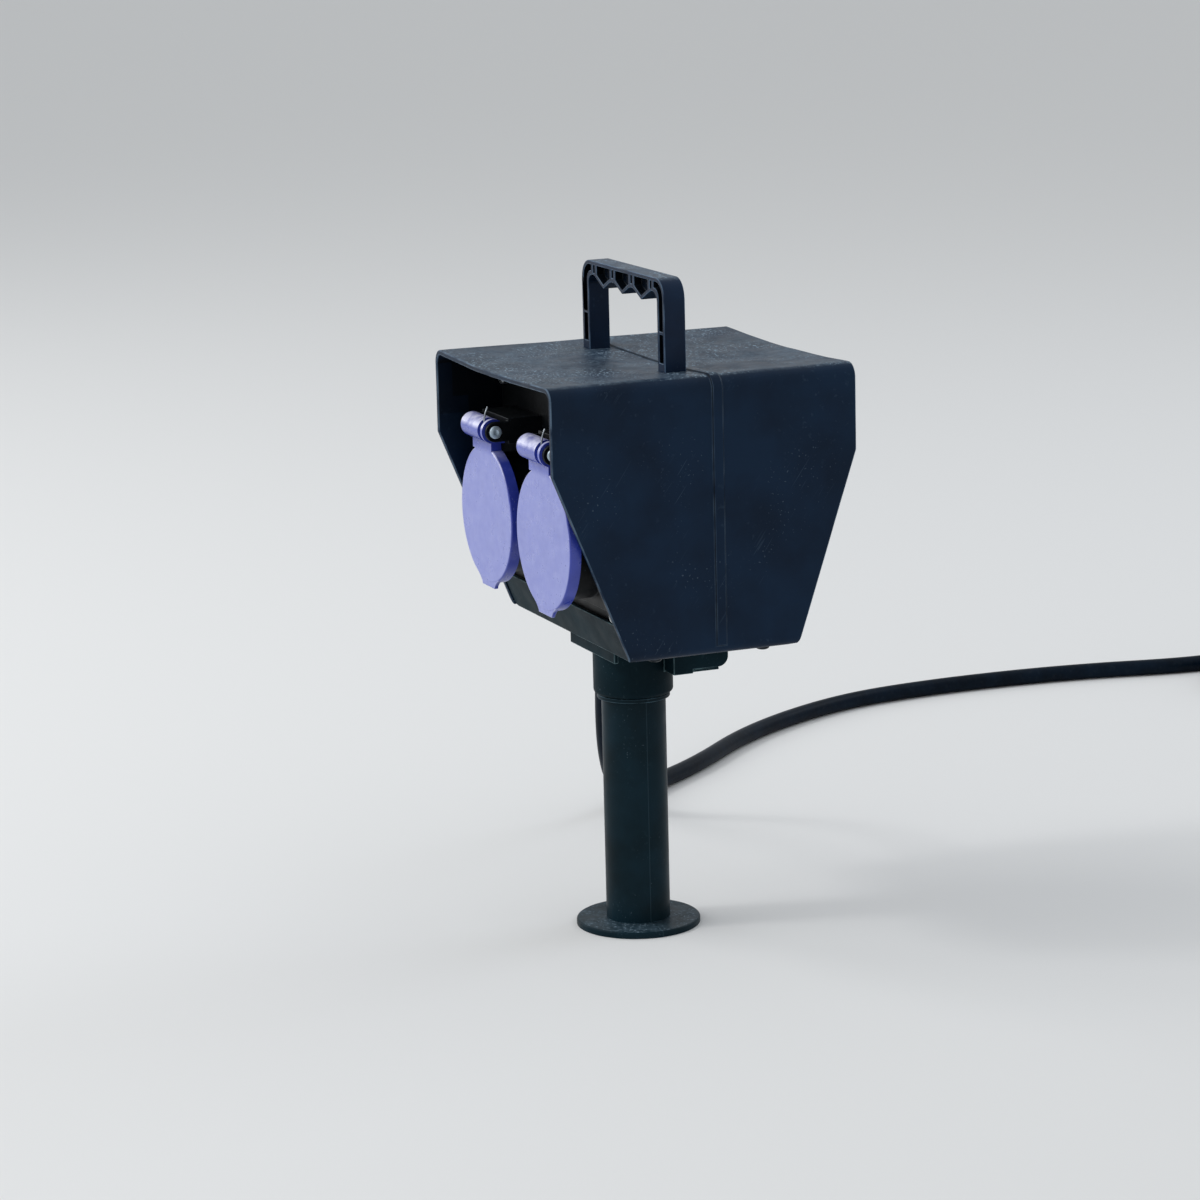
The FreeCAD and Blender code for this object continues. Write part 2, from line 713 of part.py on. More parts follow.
def make_handle():
    """Flat bar on two legs, with finger ridges underneath and hollow cells in both faces."""
    body = new_body("carry_handle")
    profile = new_sketch(body, "handle_profile", "XZ_Plane", "-handle_middle")
    underside = [(f"1.5 * {FINGER}", VALLEY, "finger_end_radius")]
    for step in (1, 0, -1):
        underside.append((f"{step} * {FINGER}", RIDGE_TIP))
        if step > -1:
            underside.append((f"({step} - 0.5) * {FINGER}", VALLEY, "finger_radius"))
    underside.append((f"-1.5 * {FINGER}", VALLEY, "finger_end_radius"))
    add_outline(profile, [
        (f"-{HANDLE_HALF}", HANDLE_END),
        (f"-{HANDLE_HALF}", HANDLE_TOP, "handle_corner"),
        (HANDLE_HALF, HANDLE_TOP, "handle_corner"),
        (HANDLE_HALF, HANDLE_END),
        (HANDLE_INNER, HANDLE_END),
        (HANDLE_INNER, VALLEY, "handle_inner_corner"),
        *underside,
        (f"-{HANDLE_INNER}", VALLEY, "handle_inner_corner"),
        (f"-{HANDLE_INNER}", HANDLE_END),
    ])
    pad(body, "handle_bar", profile, "handle_depth", both_ways=True)
    hollow = "(handle_depth - handle_web) / 2"
    front = new_sketch(body, "front_cells", "XZ_Plane", "handle_depth / 2 - handle_middle")
    handle_cells(front)
    pocket(body, "front_hollows", front, hollow)
    rear = new_sketch(body, "rear_cells", "XZ_Plane", "-handle_depth / 2 - handle_middle")
    handle_cells(rear)
    pocket(body, "rear_hollows", rear, hollow, backwards=True)
    bores = new_sketch(body, "leg_bores", "XY_Plane", HANDLE_END)
    for side in ("-1", "1"):
        add_circle(bores, f"{side} * {LEG_MIDDLE}", "handle_middle", "handle_screw_shank + thread_play")
    pocket(body, "leg_holes", bores, "handle_screw_length + touch_gap", backwards=True)
    return body


# Base tray and terminal box

BOX_INNER_FRONT = "(box_step + box_shoulder)"
COVER_SCREW_ALONG = f"({BOX_INNER_FRONT} + cover_boss_radius - touch_gap)"
BOX_ROOF = f"({FLOOR_LOW} + tray_floor / 2)"


def make_tray():
    """Floor of the hood with two slanted lips, the collar for the post and the terminal box."""
    body = new_body("base_tray")
    lips = new_sketch(body, "lip_sections", "YZ_Plane")
    for foot, slope, inward in ((FOOT_FRONT, FRONT_SLOPE, "1"), (FOOT_REAR, REAR_SLOPE, "-1")):
        low = f"({foot} + {inward} * (lip_inset - {slope} * lip_lift))"
        high = f"({foot} + {inward} * (lip_inset - {slope} * (lip_lift + lip_rise)))"
        add_outline(lips, [
            (low, LIP_LOW), (high, LIP_TOP),
            (f"{high} + {inward} * lip_wall", LIP_TOP), (f"{low} + {inward} * lip_wall", LIP_LOW),
        ])
    pad(body, "lips", lips, f"2 * {TRAY_HALF}", both_ways=True)
    side = value(TRAY_HALF)
    low = value(LIP_LOW)
    round_edges(body, "lip_corners", lambda edge: near(abs(edge.CenterOfMass.x), side)
                and near(edge.CenterOfMass.z, low), "lip_corner")
    floor = new_sketch(body, "floor_plan", "XY_Plane", FLOOR_LOW)
    add_box(floor, f"-{TRAY_HALF}", f"{FOOT_FRONT} + lip_inset", TRAY_HALF, f"{FOOT_REAR} - lip_inset")
    pad(body, "floor", floor, "tray_floor")

    collar = new_sketch(body, "collar_circle", "XY_Plane", "collar_bottom")
    add_circle(collar, "0", "0", "collar_radius")
    pad(body, "collar", collar, f"{BOX_ROOF} - collar_bottom")
    foot = value("collar_bottom")
    round_edges(body, "collar_foot", lambda edge: near(edge.CenterOfMass.z, foot), "collar_round")

    box = new_sketch(body, "box_profile", "YZ_Plane")
    add_outline(box, [
        ("box_front", BOX_ROOF), ("box_front", "box_front_bottom"), ("box_step", "box_front_bottom"),
        ("box_step", "box_bottom"), ("box_rear", "box_bottom", "box_round"), ("box_rear", BOX_ROOF),
    ])
    pad(body, "terminal_box", box, "2 * box_half_width", both_ways=True)
    web = new_sketch(body, "web_plan", "XY_Plane", "web_bottom")
    add_box(web, "-web_half_width", "-web_front", "web_half_width", "web_wall - web_front")
    pad(body, "front_web", web, f"{BOX_ROOF} - web_bottom")
    bosses = new_sketch(body, "boss_circles", "XY_Plane", BOX_ROOF)
    for across, along in TRAY_SCREW_SPOTS:
        add_circle(bosses, across, along, "tray_boss_radius")
    pad(body, "tray_bosses", bosses, "tray_boss + tray_floor / 2")

    inside = new_sketch(body, "box_cavity", "YZ_Plane")
    rear = "(box_rear - box_wall)"
    shoulder = "(box_rear - box_round - box_wall / 4)"
    add_outline(inside, [
        (BOX_INNER_FRONT, "box_bottom - box_wall"), (BOX_INNER_FRONT, FLOOR_LOW), (rear, FLOOR_LOW),
        (rear, "box_bottom + box_round"), (shoulder, "box_bottom + box_wall"),
        (shoulder, "box_bottom - box_wall"),
    ])
    pocket(body, "box_inside", inside, "2 * (box_half_width - box_wall)", both_ways=True)
    columns = new_sketch(body, "column_circles", "XY_Plane", "box_bottom")
    for side in ("-1", "1"):
        add_circle(columns, f"{side} * cover_screw_across", COVER_SCREW_ALONG, "cover_boss_radius")
    pad(body, "cover_columns", columns, f"{BOX_ROOF} - box_bottom")

    bore = new_sketch(body, "post_bore", "XY_Plane", "collar_bottom - overrun")
    add_circle(bore, "0", "0", "post_radius + post_fit")
    pocket(body, "post_socket", bore, "collar_roof - collar_bottom + overrun", backwards=True)
    gland = new_sketch(body, "gland_hole", "YZ_Plane", "box_wall + overrun - box_half_width")
    add_circle(gland, "cable_side", "cable_height", "gland_thread + touch_gap")
    pocket(body, "gland_opening", gland, "box_wall + 2 * overrun")
    lock = new_sketch(body, "lock_hole", "YZ_Plane", "-post_radius")
    add_circle(lock, "0", "collar_screw_height", "collar_screw_shank + thread_play")
    pocket(body, "lock_bore", lock, "collar_radius")
    wires = new_sketch(body, "wire_hole", "XY_Plane", f"{FLOOR_LOW} - overrun")
    half = "(2.5 * lane_pitch + wire_radius + hole_play)"
    margin = "(wire_radius + hole_play)"
    add_box(wires, f"-{half}", f"lane_front - {margin}", half, f"lane_rear + {margin}")
    pocket(body, "wire_opening", wires, "tray_floor + 2 * overrun", backwards=True)
    screws = new_sketch(body, "tray_screw_holes", "XY_Plane", f"{FLOOR_LOW} - overrun")
    for across, along in TRAY_SCREW_SPOTS:
        add_circle(screws, across, along, "tray_screw_shank + thread_play")
    pocket(body, "tray_screw_bores", screws, "tray_floor + tray_boss + 2 * overrun", backwards=True)
    covers = new_sketch(body, "cover_screw_holes", "XY_Plane", "box_bottom - overrun")
    for side in ("-1", "1"):
        add_circle(covers, f"{side} * cover_screw_across", COVER_SCREW_ALONG,
                   "cover_screw_shank + thread_play")
    pocket(body, "cover_screw_bores", covers, "cover_screw_length + overrun", backwards=True)
    return body


def make_cover():
    """Plate that closes the terminal box from below."""
    body = new_body("terminal_cover")
    plate = new_sketch(body, "cover_plate", "XY_Plane", "box_bottom - cover_wall")
    add_box(plate, "-box_half_width", "box_step + touch_gap", "box_half_width", "box_rear - box_round")
    for side in ("-1", "1"):
        add_circle(plate, f"{side} * cover_screw_across", COVER_SCREW_ALONG, "cover_screw_shank + hole_play")
    pad(body, "cover_sheet", plate, "cover_wall")
    return body


# Panels across the hood

def make_panel(name, end):
    """Flat panel behind two outlets: it ends at the lip in front and on the floor behind."""
    body = new_body(name)
    outside = f"-(outlet_middle + {end} * panel_setback)"
    plate = new_sketch(body, "panel_plate", "XZ_Plane", outside)
    half = f"({INNER_HALF} - seat_gap)"
    low = "panel_bottom" if end == "-1" else f"({FLOOR_HIGH} + seat_gap)"
    add_box(plate, f"-{half}", low, half, "panel_top", "panel_corner")
    for side in ("-1", "1"):
        add_circle(plate, f"{side} * outlet_pitch / 2", "outlet_height", "ring_bore + hole_play")
        for level in ("panel_screw_low", "panel_screw_high"):
            add_circle(plate, f"{side} * panel_screw_across", level, "panel_screw_shank + hole_play")
        for corner in ("-1", "1"):
            turned = f"-({end}) * {corner}"
            add_circle(plate, f"{side} * outlet_pitch / 2 + {turned} * housing_screw_across",
                       f"outlet_height + {corner} * housing_screw_up", "socket_screw_shank + thread_play")
    pad(body, "panel_sheet", plate, "panel_wall", backwards=end == "-1")
    return body


# Socket outlets

HALF_TURN = FreeCAD.Rotation(UP, 180)
CLIP_HALF = "(recess_radius + seat_gap + clip_wall)"
CLIP_BACK = "(insert_back - seat_gap - clip_wall)"
SLEEVE_LENGTH = "(insert_reach - recess_depth - pin_hole_depth - insert_back)"


def seat(piece, side, end):
    """Put a piece of an outlet at its place; the rear ones look the other way."""
    if end == "1":
        piece.Placement = FreeCAD.Placement(FreeCAD.Vector(0, 0, 0), HALF_TURN)
    tie(piece, "Placement.Base.x", f"{side} * outlet_pitch / 2")
    tie(piece, "Placement.Base.y", "outlet_middle")
    tie(piece, "Placement.Base.z", "outlet_height")
    return piece


def make_housing(name):
    """Mounting flange with the round socket ring, the hinge block and its two ears."""
    body = new_body(name)
    top = "block_top - outlet_height"
    plate = new_sketch(body, "flange_plate", "XZ_Plane", "panel_setback")
    add_box(plate, "-housing_half_width", "-housing_half_height", "housing_half_width",
            "housing_half_height", "housing_corner")
    pad(body, "flange", plate, "housing_flange")
    tongue = new_sketch(body, "tongue_plate", "XZ_Plane", "panel_setback")
    add_box(tongue, "-far_ear_left", "0", "ear_right", top)
    pad(body, "tongue", tongue, "housing_flange")
    block = new_sketch(body, "block_face", "XZ_Plane", "panel_setback")
    add_box(block, "-far_ear_left", "block_bottom - outlet_height", "ear_right", top)
    pad(body, "hinge_block", block, "block_reach - panel_setback")
    ring = new_sketch(body, "ring_circle", "XZ_Plane", "panel_setback")
    add_circle(ring, "0", "0", "ring_radius")
    pad(body, "socket_ring", ring, "ring_reach - panel_setback")
    for word, left, right in (("near", "ear_left", "ear_right"), ("far", "-far_ear_left", "-far_ear_right")):
        round_end = new_sketch(body, f"{word}_ear_round", "YZ_Plane", left)
        add_circle(round_end, "-hinge_reach", HINGE_UP, "ear_radius")
        pad(body, f"{word}_ear_end", round_end, f"{right} - ({left})")
        arm = new_sketch(body, f"{word}_ear_arm", "YZ_Plane", left)
        add_box(
            arm, "-hinge_reach", f"{HINGE_UP} - ear_radius", "overrun - block_reach", f"{HINGE_UP} + ear_radius")
        pad(body, f"{word}_ear", arm, f"{right} - ({left})")
    bore = new_sketch(body, "ring_hole", "XZ_Plane", "ring_reach")
    add_circle(bore, "0", "0", "ring_bore")
    pocket(body, "socket_bore", bore, "ring_reach - panel_setback + overrun")
    pin = new_sketch(body, "pin_circle", "YZ_Plane", "ear_right + overrun")
    add_circle(pin, "-hinge_reach", HINGE_UP, "pin_radius + pin_fit")
    pocket(body, "pin_bore", pin, "ear_right + far_ear_left + 2 * overrun")
    screws = new_sketch(body, "screw_circles", "XZ_Plane", "panel_setback + housing_flange")
    for corner in ("-1", "1"):
        add_circle(screws, f"{corner} * housing_screw_across", f"{corner} * housing_screw_up",
                   "socket_screw_shank + hole_play")
    pocket(body, "screw_holes", screws, "housing_flange + overrun")
    return body


def make_insert(name):
    """Round insert with the plug recess, two pin holes and the slots of the earth clip."""
    body = new_body(name)
    disc = new_sketch(body, "insert_circle", "XZ_Plane", "insert_back")
    add_circle(disc, "0", "0", "ring_bore - insert_play")
    pad(body, "insert_drum", disc, "insert_reach - insert_back")
    recess = new_sketch(body, "recess_circle", "XZ_Plane", "insert_reach")
    add_circle(recess, "0", "0", "recess_radius")
    pocket(body, "plug_recess", recess, "recess_depth")
    holes = new_sketch(body, "pin_circles", "XZ_Plane", "insert_reach")
    rooms = new_sketch(body, "sleeve_circles", "XZ_Plane", "insert_back")
    for side in ("-1", "1"):
        add_circle(holes, f"{side} * pin_spacing / 2", "0", "pin_hole_radius")
        add_circle(rooms, f"{side} * pin_spacing / 2", "0", "sleeve_radius + sleeve_play")
    pocket(body, "pin_holes", holes, "insert_reach - insert_back + overrun")
    pocket(body, "sleeve_rooms", rooms, SLEEVE_LENGTH, backwards=True)
    slots = new_sketch(body, "clip_slots", "XZ_Plane", "insert_reach")
    half = "(clip_width / 2 + insert_play)"
    for side in ("-1", "1"):
        low = f"{side} * (recess_radius - insert_play)"
        high = f"{side} * ({CLIP_HALF} + touch_gap)"
        add_box(slots, f"-{half}", low, half, high)
    pocket(body, "clip_rooms", slots, "insert_reach - insert_back + overrun")
    return body


def make_contacts(name):
    """Two sprung sleeves that take the plug's pins, each with its terminal lug."""
    body = new_body(name)
    sleeves = new_sketch(body, "sleeve_outer", "XZ_Plane", "insert_back")
    lugs = new_sketch(body, "lug_ends", "XZ_Plane", "lug_reach")
    bores = new_sketch(body, "sleeve_inner", "XZ_Plane", f"insert_back + {SLEEVE_LENGTH}")
    for side in ("-1", "1"):
        middle = f"{side} * pin_spacing / 2"
        add_circle(sleeves, middle, "0", "sleeve_radius")
        add_circle(bores, middle, "0", "sleeve_bore")
        add_box(lugs, f"{middle} - lug_size / 2", "-lug_size / 2", f"{middle} + lug_size / 2", "lug_size / 2")
    pad(body, "sleeves", sleeves, SLEEVE_LENGTH)
    pad(body, "lugs", lugs, "insert_back - lug_reach")
    pocket(body, "sleeve_bores", bores, SLEEVE_LENGTH)
    return body


def make_clip(name):
    """Earth strap in the shape of a U, with one leg on each side of the recess and a lug behind."""
    body = new_body(name)
    strap = new_sketch(body, "strap_profile", "YZ_Plane")
    front = "-(insert_reach - touch_gap)"
    back = f"-{CLIP_BACK}"
    inner_back = f"-({CLIP_BACK} + clip_wall)"
    inner = f"({CLIP_HALF} - clip_wall)"
    add_outline(strap, [
        (front, CLIP_HALF), (back, CLIP_HALF), (back, f"-{CLIP_HALF}"), (front, f"-{CLIP_HALF}"),
        (front, f"-{inner}"), (inner_back, f"-{inner}"), (inner_back, inner), (front, inner),
    ])
    pad(body, "strap", strap, "clip_width", both_ways=True)
    lug = new_sketch(body, "earth_lug", "XZ_Plane", "lug_reach")
    add_box(lug, "-lug_size / 2", "-lug_size / 2", "lug_size / 2", "lug_size / 2")
    pad(body, "lug", lug, f"{CLIP_BACK} - lug_reach + clip_wall / 2")
    return body


def make_lid(name):
    """Round lid with a rim, a finger tab, and a neck up to the hinge barrel and its rim knuckle."""
    body = new_body(name)
    disc = new_sketch(body, "lid_circle", "XZ_Plane", "lid_reach")
    add_circle(disc, "0", "0", "lid_radius")
    pad(body, "lid_disc", disc, "lid_depth", backwards=True)
    face = -value("lid_reach")
    round_edges(body, "lid_edge_round", lambda edge: near(edge.CenterOfMass.y, face), "lid_edge")
    tab = new_sketch(body, "tab_face", "XZ_Plane", "lid_reach - lid_edge")
    add_outline(tab, [
        ("-tab_width / 2", "-lid_radius - tab_drop", "tab_corner"),
        ("tab_width / 2", "-lid_radius - tab_drop", "tab_corner"),
        ("tab_width / 2", "lid_rim - lid_radius"), ("-tab_width / 2", "lid_rim - lid_radius"),
    ])
    pad(body, "finger_tab", tab, "lid_wall", backwards=True)
    barrel = new_sketch(body, "barrel_circle", "YZ_Plane", "-barrel_left")
    add_circle(barrel, "-hinge_reach", HINGE_UP, "barrel_radius")
    pad(body, "barrel", barrel, "barrel_left + barrel_right")
    end = -value("barrel_left")
    round_edges(body, "barrel_end_round", lambda edge: near(edge.CenterOfMass.x, end), "barrel_round")
    neck = new_sketch(body, "neck_face", "XZ_Plane", "lid_reach")
    low = "lid_radius - 1.25 * lid_rim"
    bridge_low = f"{HINGE_UP} - barrel_radius"
    bridge_top = f"{HINGE_UP} - spring_clearance - touch_gap"
    add_outline(neck, [
        ("-neck_left", low), ("neck_right", low), ("neck_right", bridge_low), ("rim_right", bridge_low),
        ("rim_right", bridge_top), ("barrel_right", bridge_top),
        ("barrel_right", HINGE_UP), ("-neck_left", HINGE_UP),
    ])
    pad(body, "neck", neck, "neck_wall", backwards=True)
    knuckle = new_sketch(body, "knuckle_circle", "YZ_Plane", "barrel_right + spring_room")
    add_circle(knuckle, "-hinge_reach", HINGE_UP, "barrel_radius")
    pad(body, "rim_knuckle", knuckle, "rim_right - barrel_right - spring_room")
    hollow = new_sketch(body, "lid_hollow", "XZ_Plane", "lid_reach - lid_depth")
    add_circle(hollow, "0", "0", "lid_radius - lid_rim")
    pocket(body, "lid_inside", hollow, "lid_depth - lid_wall", backwards=True)
    pin = new_sketch(body, "pin_circle", "YZ_Plane", "rim_right + overrun")
    add_circle(pin, "-hinge_reach", HINGE_UP, "pin_radius + pin_play")
    pocket(body, "pin_bore", pin, "rim_right + barrel_left + 2 * overrun")
    return body


def make_seal(name):
    """Flat ring under the lid that meets the socket ring."""
    body = new_body(name)
    ring = new_sketch(body, "seal_circles", "XZ_Plane", "lid_reach - lid_wall")
    add_circle(ring, "0", "0", "seal_outer")
    add_circle(ring, "0", "0", "seal_inner")
    pad(body, "seal_ring", ring, "seal_wall", backwards=True)
    return body


def make_pin(name):
    """Hinge pin with a flat round head at one end and a pressed tail at the other."""
    body = new_body(name)
    for word, left, right, radius in (
            ("shaft", "-far_ear_left - pin_tail", "ear_right + pin_head", "pin_radius"),
            ("head", "ear_right", "ear_right + pin_head", "pin_head_radius"),
            ("tail", "-far_ear_left - pin_tail", "-far_ear_left", "pin_tail_radius")):
        circle = new_sketch(body, f"{word}_circle", "YZ_Plane", left)
        add_circle(circle, "-hinge_reach", HINGE_UP, radius)
        pad(body, word, circle, f"{right} - ({left})")
    return body


# Wound and bent round pieces

def arc_between(start, heading, end):
    """The arc that leaves a point in a heading and reaches another point."""
    chord = end - start
    along = FreeCAD.Vector(chord).normalize()
    aside = heading - along * heading.dot(along)
    if aside.Length < 1e-6:
        return Part.makeLine(start, end)
    half_turn = along.getAngle(heading)
    height = chord.Length / 2 * math.tan(half_turn / 2)
    middle = start + chord / 2 + aside.normalize() * height
    return Part.Arc(start, middle, end).toShape()


def biarc(start, heading, end, last_heading):
    """Two tangent arcs from one point and heading to another."""
    gap = end - start
    both = heading + last_heading
    spread = 2 * (1 - heading.dot(last_heading))
    reach = gap.dot(both)
    depth = (math.sqrt(reach * reach + spread * gap.dot(gap)) - reach) / spread
    joint = (start + end + (heading - last_heading) * depth) / 2
    back = arc_between(end, last_heading * -1, joint)
    middle = back.valueAt((back.FirstParameter + back.LastParameter) / 2)
    return [arc_between(start, heading, joint), Part.Arc(joint, middle, end).toShape()]


def wound_wire(spots, headings):
    """A smooth wire through turning points, two arcs from each to the next."""
    edges = []
    for i in range(len(spots) - 1):
        edges += biarc(spots[i], headings[i], spots[i + 1], headings[i + 1])
    return edges


def round_bar(edges, heading, radius):
    """One unbroken round bar along a wire."""
    start = edges[0].Vertexes[0].Point
    section = Part.Wire([Part.makeCircle(radius, start, heading)])
    return Part.Wire(edges).makePipeShell([section], True, False)


def least_gap(edges, diameter):
    """The least clear distance of a wound bar to itself, measured on points of its middle line."""
    spots = []
    run = []
    travelled = 0
    for edge in edges:
        steps = max(2, int(edge.Length / (diameter / 4)))
        for point in edge.discretize(steps + 1)[:-1]:
            if spots:
                travelled += (point - spots[-1]).Length
            spots.append(point)
            run.append(travelled)
    least = run[-1]
    for i, spot in enumerate(spots):
        for j in range(i + 1, len(spots)):
            if run[j] - run[i] > 4 * diameter:
                least = min(least, (spots[j] - spot).Length)
    return least - diameter


def bent_bar(points, radius):
    """A round bar along straight runs joined by tangent arcs, each as wide as its runs allow."""
    edges = []
    radii = []
    last = points[0]
    for before, corner, after in zip(points, points[1:], points[2:]):
        shorter = min((corner - before).Length, (after - corner).Length)
        half = (corner - before).getAngle(after - corner) / 2
        reach = 0.45 * shorter
        radii.append(reach / math.tan(half))
        back = FreeCAD.Vector(before - corner).normalize()
        ahead = FreeCAD.Vector(after - corner).normalize()
        centre = corner + (back + ahead).normalize() * (radii[-1] / math.cos(half))
        middle = centre + (corner - centre).normalize() * radii[-1]
        edges.append(Part.makeLine(last, corner + back * reach))
        edges.append(Part.Arc(corner + back * reach, middle, corner + ahead * reach).toShape())
        last = corner + ahead * reach
    edges.append(Part.makeLine(last, points[-1]))
    bar = round_bar(edges, points[1] - points[0], radius)
    return bar, radii, sum(edge.Length for edge in edges)


def make_spring(name):
    """Torsion spring on the hinge pin: one leg back to the block, one leg standing up in front."""
    radius = value("spring_radius")
    wire = value("spring_wire")
    first = value("barrel_right + seat_gap + spring_wire / 2")
    middle = FreeCAD.Vector(first, -value("hinge_reach"), value(HINGE_UP))
    quarter = math.pi / 2
    quarters = 5
    climb = value("spring_pitch") / 4
    spots = []
    headings = []
    for i in range(quarters + 1):
        angle = -quarter * (i + 1)
        spots.append(middle + FreeCAD.Vector(climb * i, radius * math.cos(angle), radius * math.sin(angle)))
        lean = climb / quarter if 0 < i < quarters else 0
        heading = FreeCAD.Vector(lean, radius * math.sin(angle), -radius * math.cos(angle))
        headings.append(heading.normalize())
    back_leg = spots[0] - headings[0] * (value("hinge_reach") - value("block_reach + seat_gap"))
    front_leg = spots[-1] + headings[-1] * value("spring_leg")
    turns = wound_wire(spots, headings)
    edges = [Part.makeLine(back_leg, spots[0])] + turns + [Part.makeLine(spots[-1], front_leg)]
    feature = doc.addObject("Part::Feature", name)
    feature.Shape = round_bar(edges, headings[0], wire / 2)
    feature.Label = name
    if name == "front_left_spring":
        print("spring gap", round(least_gap(turns, wire), 3))
    return feature


# Screws

WAYS = {
    "up": (FreeCAD.Rotation(), (0, 0, 1)),
    "right": (ALONG_X, (1, 0, 0)),
    "inward": (ALONG_Y, (0, 1, 0)),
    "outward": (AWAY_Y, (0, -1, 0)),
}


def screw(name, kind, base, way):
    """Head and shank of a screw whose head rests at a spot, pointing up, right, inward or outward."""
    turn, step = WAYS[way]
    under = [f"{rule} - ({move}) * {kind}_head" for rule, move in zip(base, step)]
    return [
        drum(f"{name}_head", f"{kind}_head_radius", f"{kind}_head", under, turn),
        drum(f"{name}_shank", f"{kind}_shank", f"{kind}_length", base, turn),
    ]


def screw_set(name, kind, spots, way):
    """All screws of one kind in one node."""
    pieces = []
    for i, spot in enumerate(spots):
        pieces += screw(f"{name}_{i + 1}", kind, spot, way)
    return pieces


def make_screws():
    """The screws of the hood, tray, cover, handle, collar, panels and outlets."""
    made = []
    under = screw_set(
        "tray_screw", "tray_screw", [spot + ("hood_bottom",) for spot in TRAY_SCREW_SPOTS], "up")
    cover_spots = [(f"{side} * cover_screw_across", COVER_SCREW_ALONG, "box_bottom - cover_wall")
                   for side in ("-1", "1")]
    under += screw_set("cover_screw", "cover_screw", cover_spots, "up")
    made.append(joined("underside_screws", under))
    legs = [(f"{side} * {LEG_MIDDLE}", "handle_middle", HANDLE_END) for side in ("-1", "1")]
    made.append(joined("handle_screws", screw_set("leg_screw", "handle_screw", legs, "up")))
    lock = [("-collar_radius", "0", "collar_screw_height")]
    made.append(joined("collar_screw", screw_set("lock_screw", "collar_screw", lock, "right")))
    for word, end, way in (("front", "-1", "inward"), ("rear", "1", "outward")):
        face = f"outlet_middle + {end} * panel_setback"
        corners = [(f"{side} * panel_screw_across", face, level)
                   for side in ("-1", "1") for level in ("panel_screw_low", "panel_screw_high")]
        made.append(joined(f"{word}_panel_screws", screw_set(f"{word}_screw", "panel_screw", corners, way)))
        flange = f"outlet_middle + {end} * (panel_setback + housing_flange)"
        holes = [(f"{side} * outlet_pitch / 2 + {corner} * housing_screw_across",
                  flange, f"outlet_height + {corner} * -({end}) * housing_screw_up")
                 for side in ("-1", "1") for corner in ("-1", "1")]
        made.append(joined(f"{word}_socket_screws", screw_set(f"{word}_fixing", "socket_screw", holes, way)))
    lanes = [(lane(i), "(lane_front + lane_rear) / 2", "terminal_bottom") for i in range(6)]
    made.append(joined("terminal_screws", screw_set("clamp_screw", "terminal_screw", lanes, "up")))
    return made


# Terminal block and wires

TERMINAL_TOP = f"({FLOOR_LOW} - seat_gap)"


def lane(i):
    """Where the wire of one terminal runs, counted from the left."""
    return f"({i} - 2.5) * lane_pitch"


def make_terminal_block():
    """Six-way block under the wire hole of the floor."""
    body = new_body("terminal_block")
    plan = new_sketch(body, "block_plan", "XY_Plane", "terminal_bottom")
    add_box(plan, "-terminal_half_width", "terminal_front", "terminal_half_width", "terminal_rear")
    pad(body, "block", plan, f"{TERMINAL_TOP} - terminal_bottom")
    holes = new_sketch(body, "clamp_holes", "XY_Plane", "terminal_bottom")
    for i in range(6):
        add_circle(holes, lane(i), "(lane_front + lane_rear) / 2", "terminal_screw_shank + thread_play")
    pocket(body, "clamp_bores", holes, "terminal_screw_length + seat_gap", backwards=True)
    return body


def place(across, along, height):
    return FreeCAD.Vector(value(across), value(along), value(height))


def outlet_wire(side, end, contact, terminal):
    """One wire from a lug of an outlet, inward and down to its terminal."""
    across = f"{side} * outlet_pitch / 2 + {contact} * pin_spacing / 2"
    row = "lane_front" if end == "-1" else "lane_rear"
    points = [
        place(across, f"outlet_middle + {end} * (lug_reach - touch_gap)", "outlet_height"),
        place(across, f"outlet_middle + {end} * lug_reach / 2", "outlet_height"),
        place(lane(terminal), row, "outlet_height - wire_drop"),
        place(lane(terminal), row, f"{TERMINAL_TOP} + touch_gap"),
    ]
    return bent_bar(points, value("wire_radius"))[0]


def supply_core(step):
    """One core of the supply cable, from the cut sheath to the terminal block."""
    height = f"cable_height + {step} * core_spacing"
    points = [
        place("touch_gap - gland_inner", "cable_side", height),
        place("-terminal_half_width - touch_gap", "cable_side", height),
    ]
    return round_bar([Part.makeLine(*points)], points[1] - points[0], value("wire_radius"))


def make_wires():
    """Live, neutral and earth wires: one to each outlet and one from the supply cable."""
    made = []
    for name, contacts, core in (
            ("live_wires", (("-1", "-1", 0), ("1", "1", 5)), "1"),
            ("neutral_wires", (("-1", "1", 2), ("1", "-1", 3)), "0"),
            ("earth_wires", (("-1", "0", 1), ("1", "0", 4)), "-1")):
        shapes = [outlet_wire(side, end, contact, terminal)
                  for side, contact, terminal in contacts for end in ("-1", "1")]
        made.append(group(name, shapes + [supply_core(core)]))
    return made


# Post and ground spike

def make_post():
    """Round tube with the ring that stops it under the collar."""
    body = new_body("post_tube")
    tube = new_sketch(body, "tube_circles", "XY_Plane", "flange_wall")
    add_circle(tube, "0", "0", "post_radius")
    pad(body, "tube", tube, "post_top - flange_wall")
    ring = new_sketch(body, "ring_circle", "XY_Plane", "collar_bottom - seat_gap - post_ring")
    add_circle(ring, "0", "0", "post_ring_radius")
    pad(body, "stop_ring", ring, "post_ring")
    bore = new_sketch(body, "bore_circle", "XY_Plane", "post_top + overrun")
    add_circle(bore, "0", "0", "post_radius - post_wall")
    pocket(body, "tube_bore", bore, "post_top - flange_wall + 2 * overrun")
    lock = new_sketch(body, "lock_hole", "YZ_Plane")
    add_circle(lock, "0", "collar_screw_height", "collar_screw_shank + thread_play")
    pocket(body, "lock_bore", lock, "post_radius + overrun")
    return body


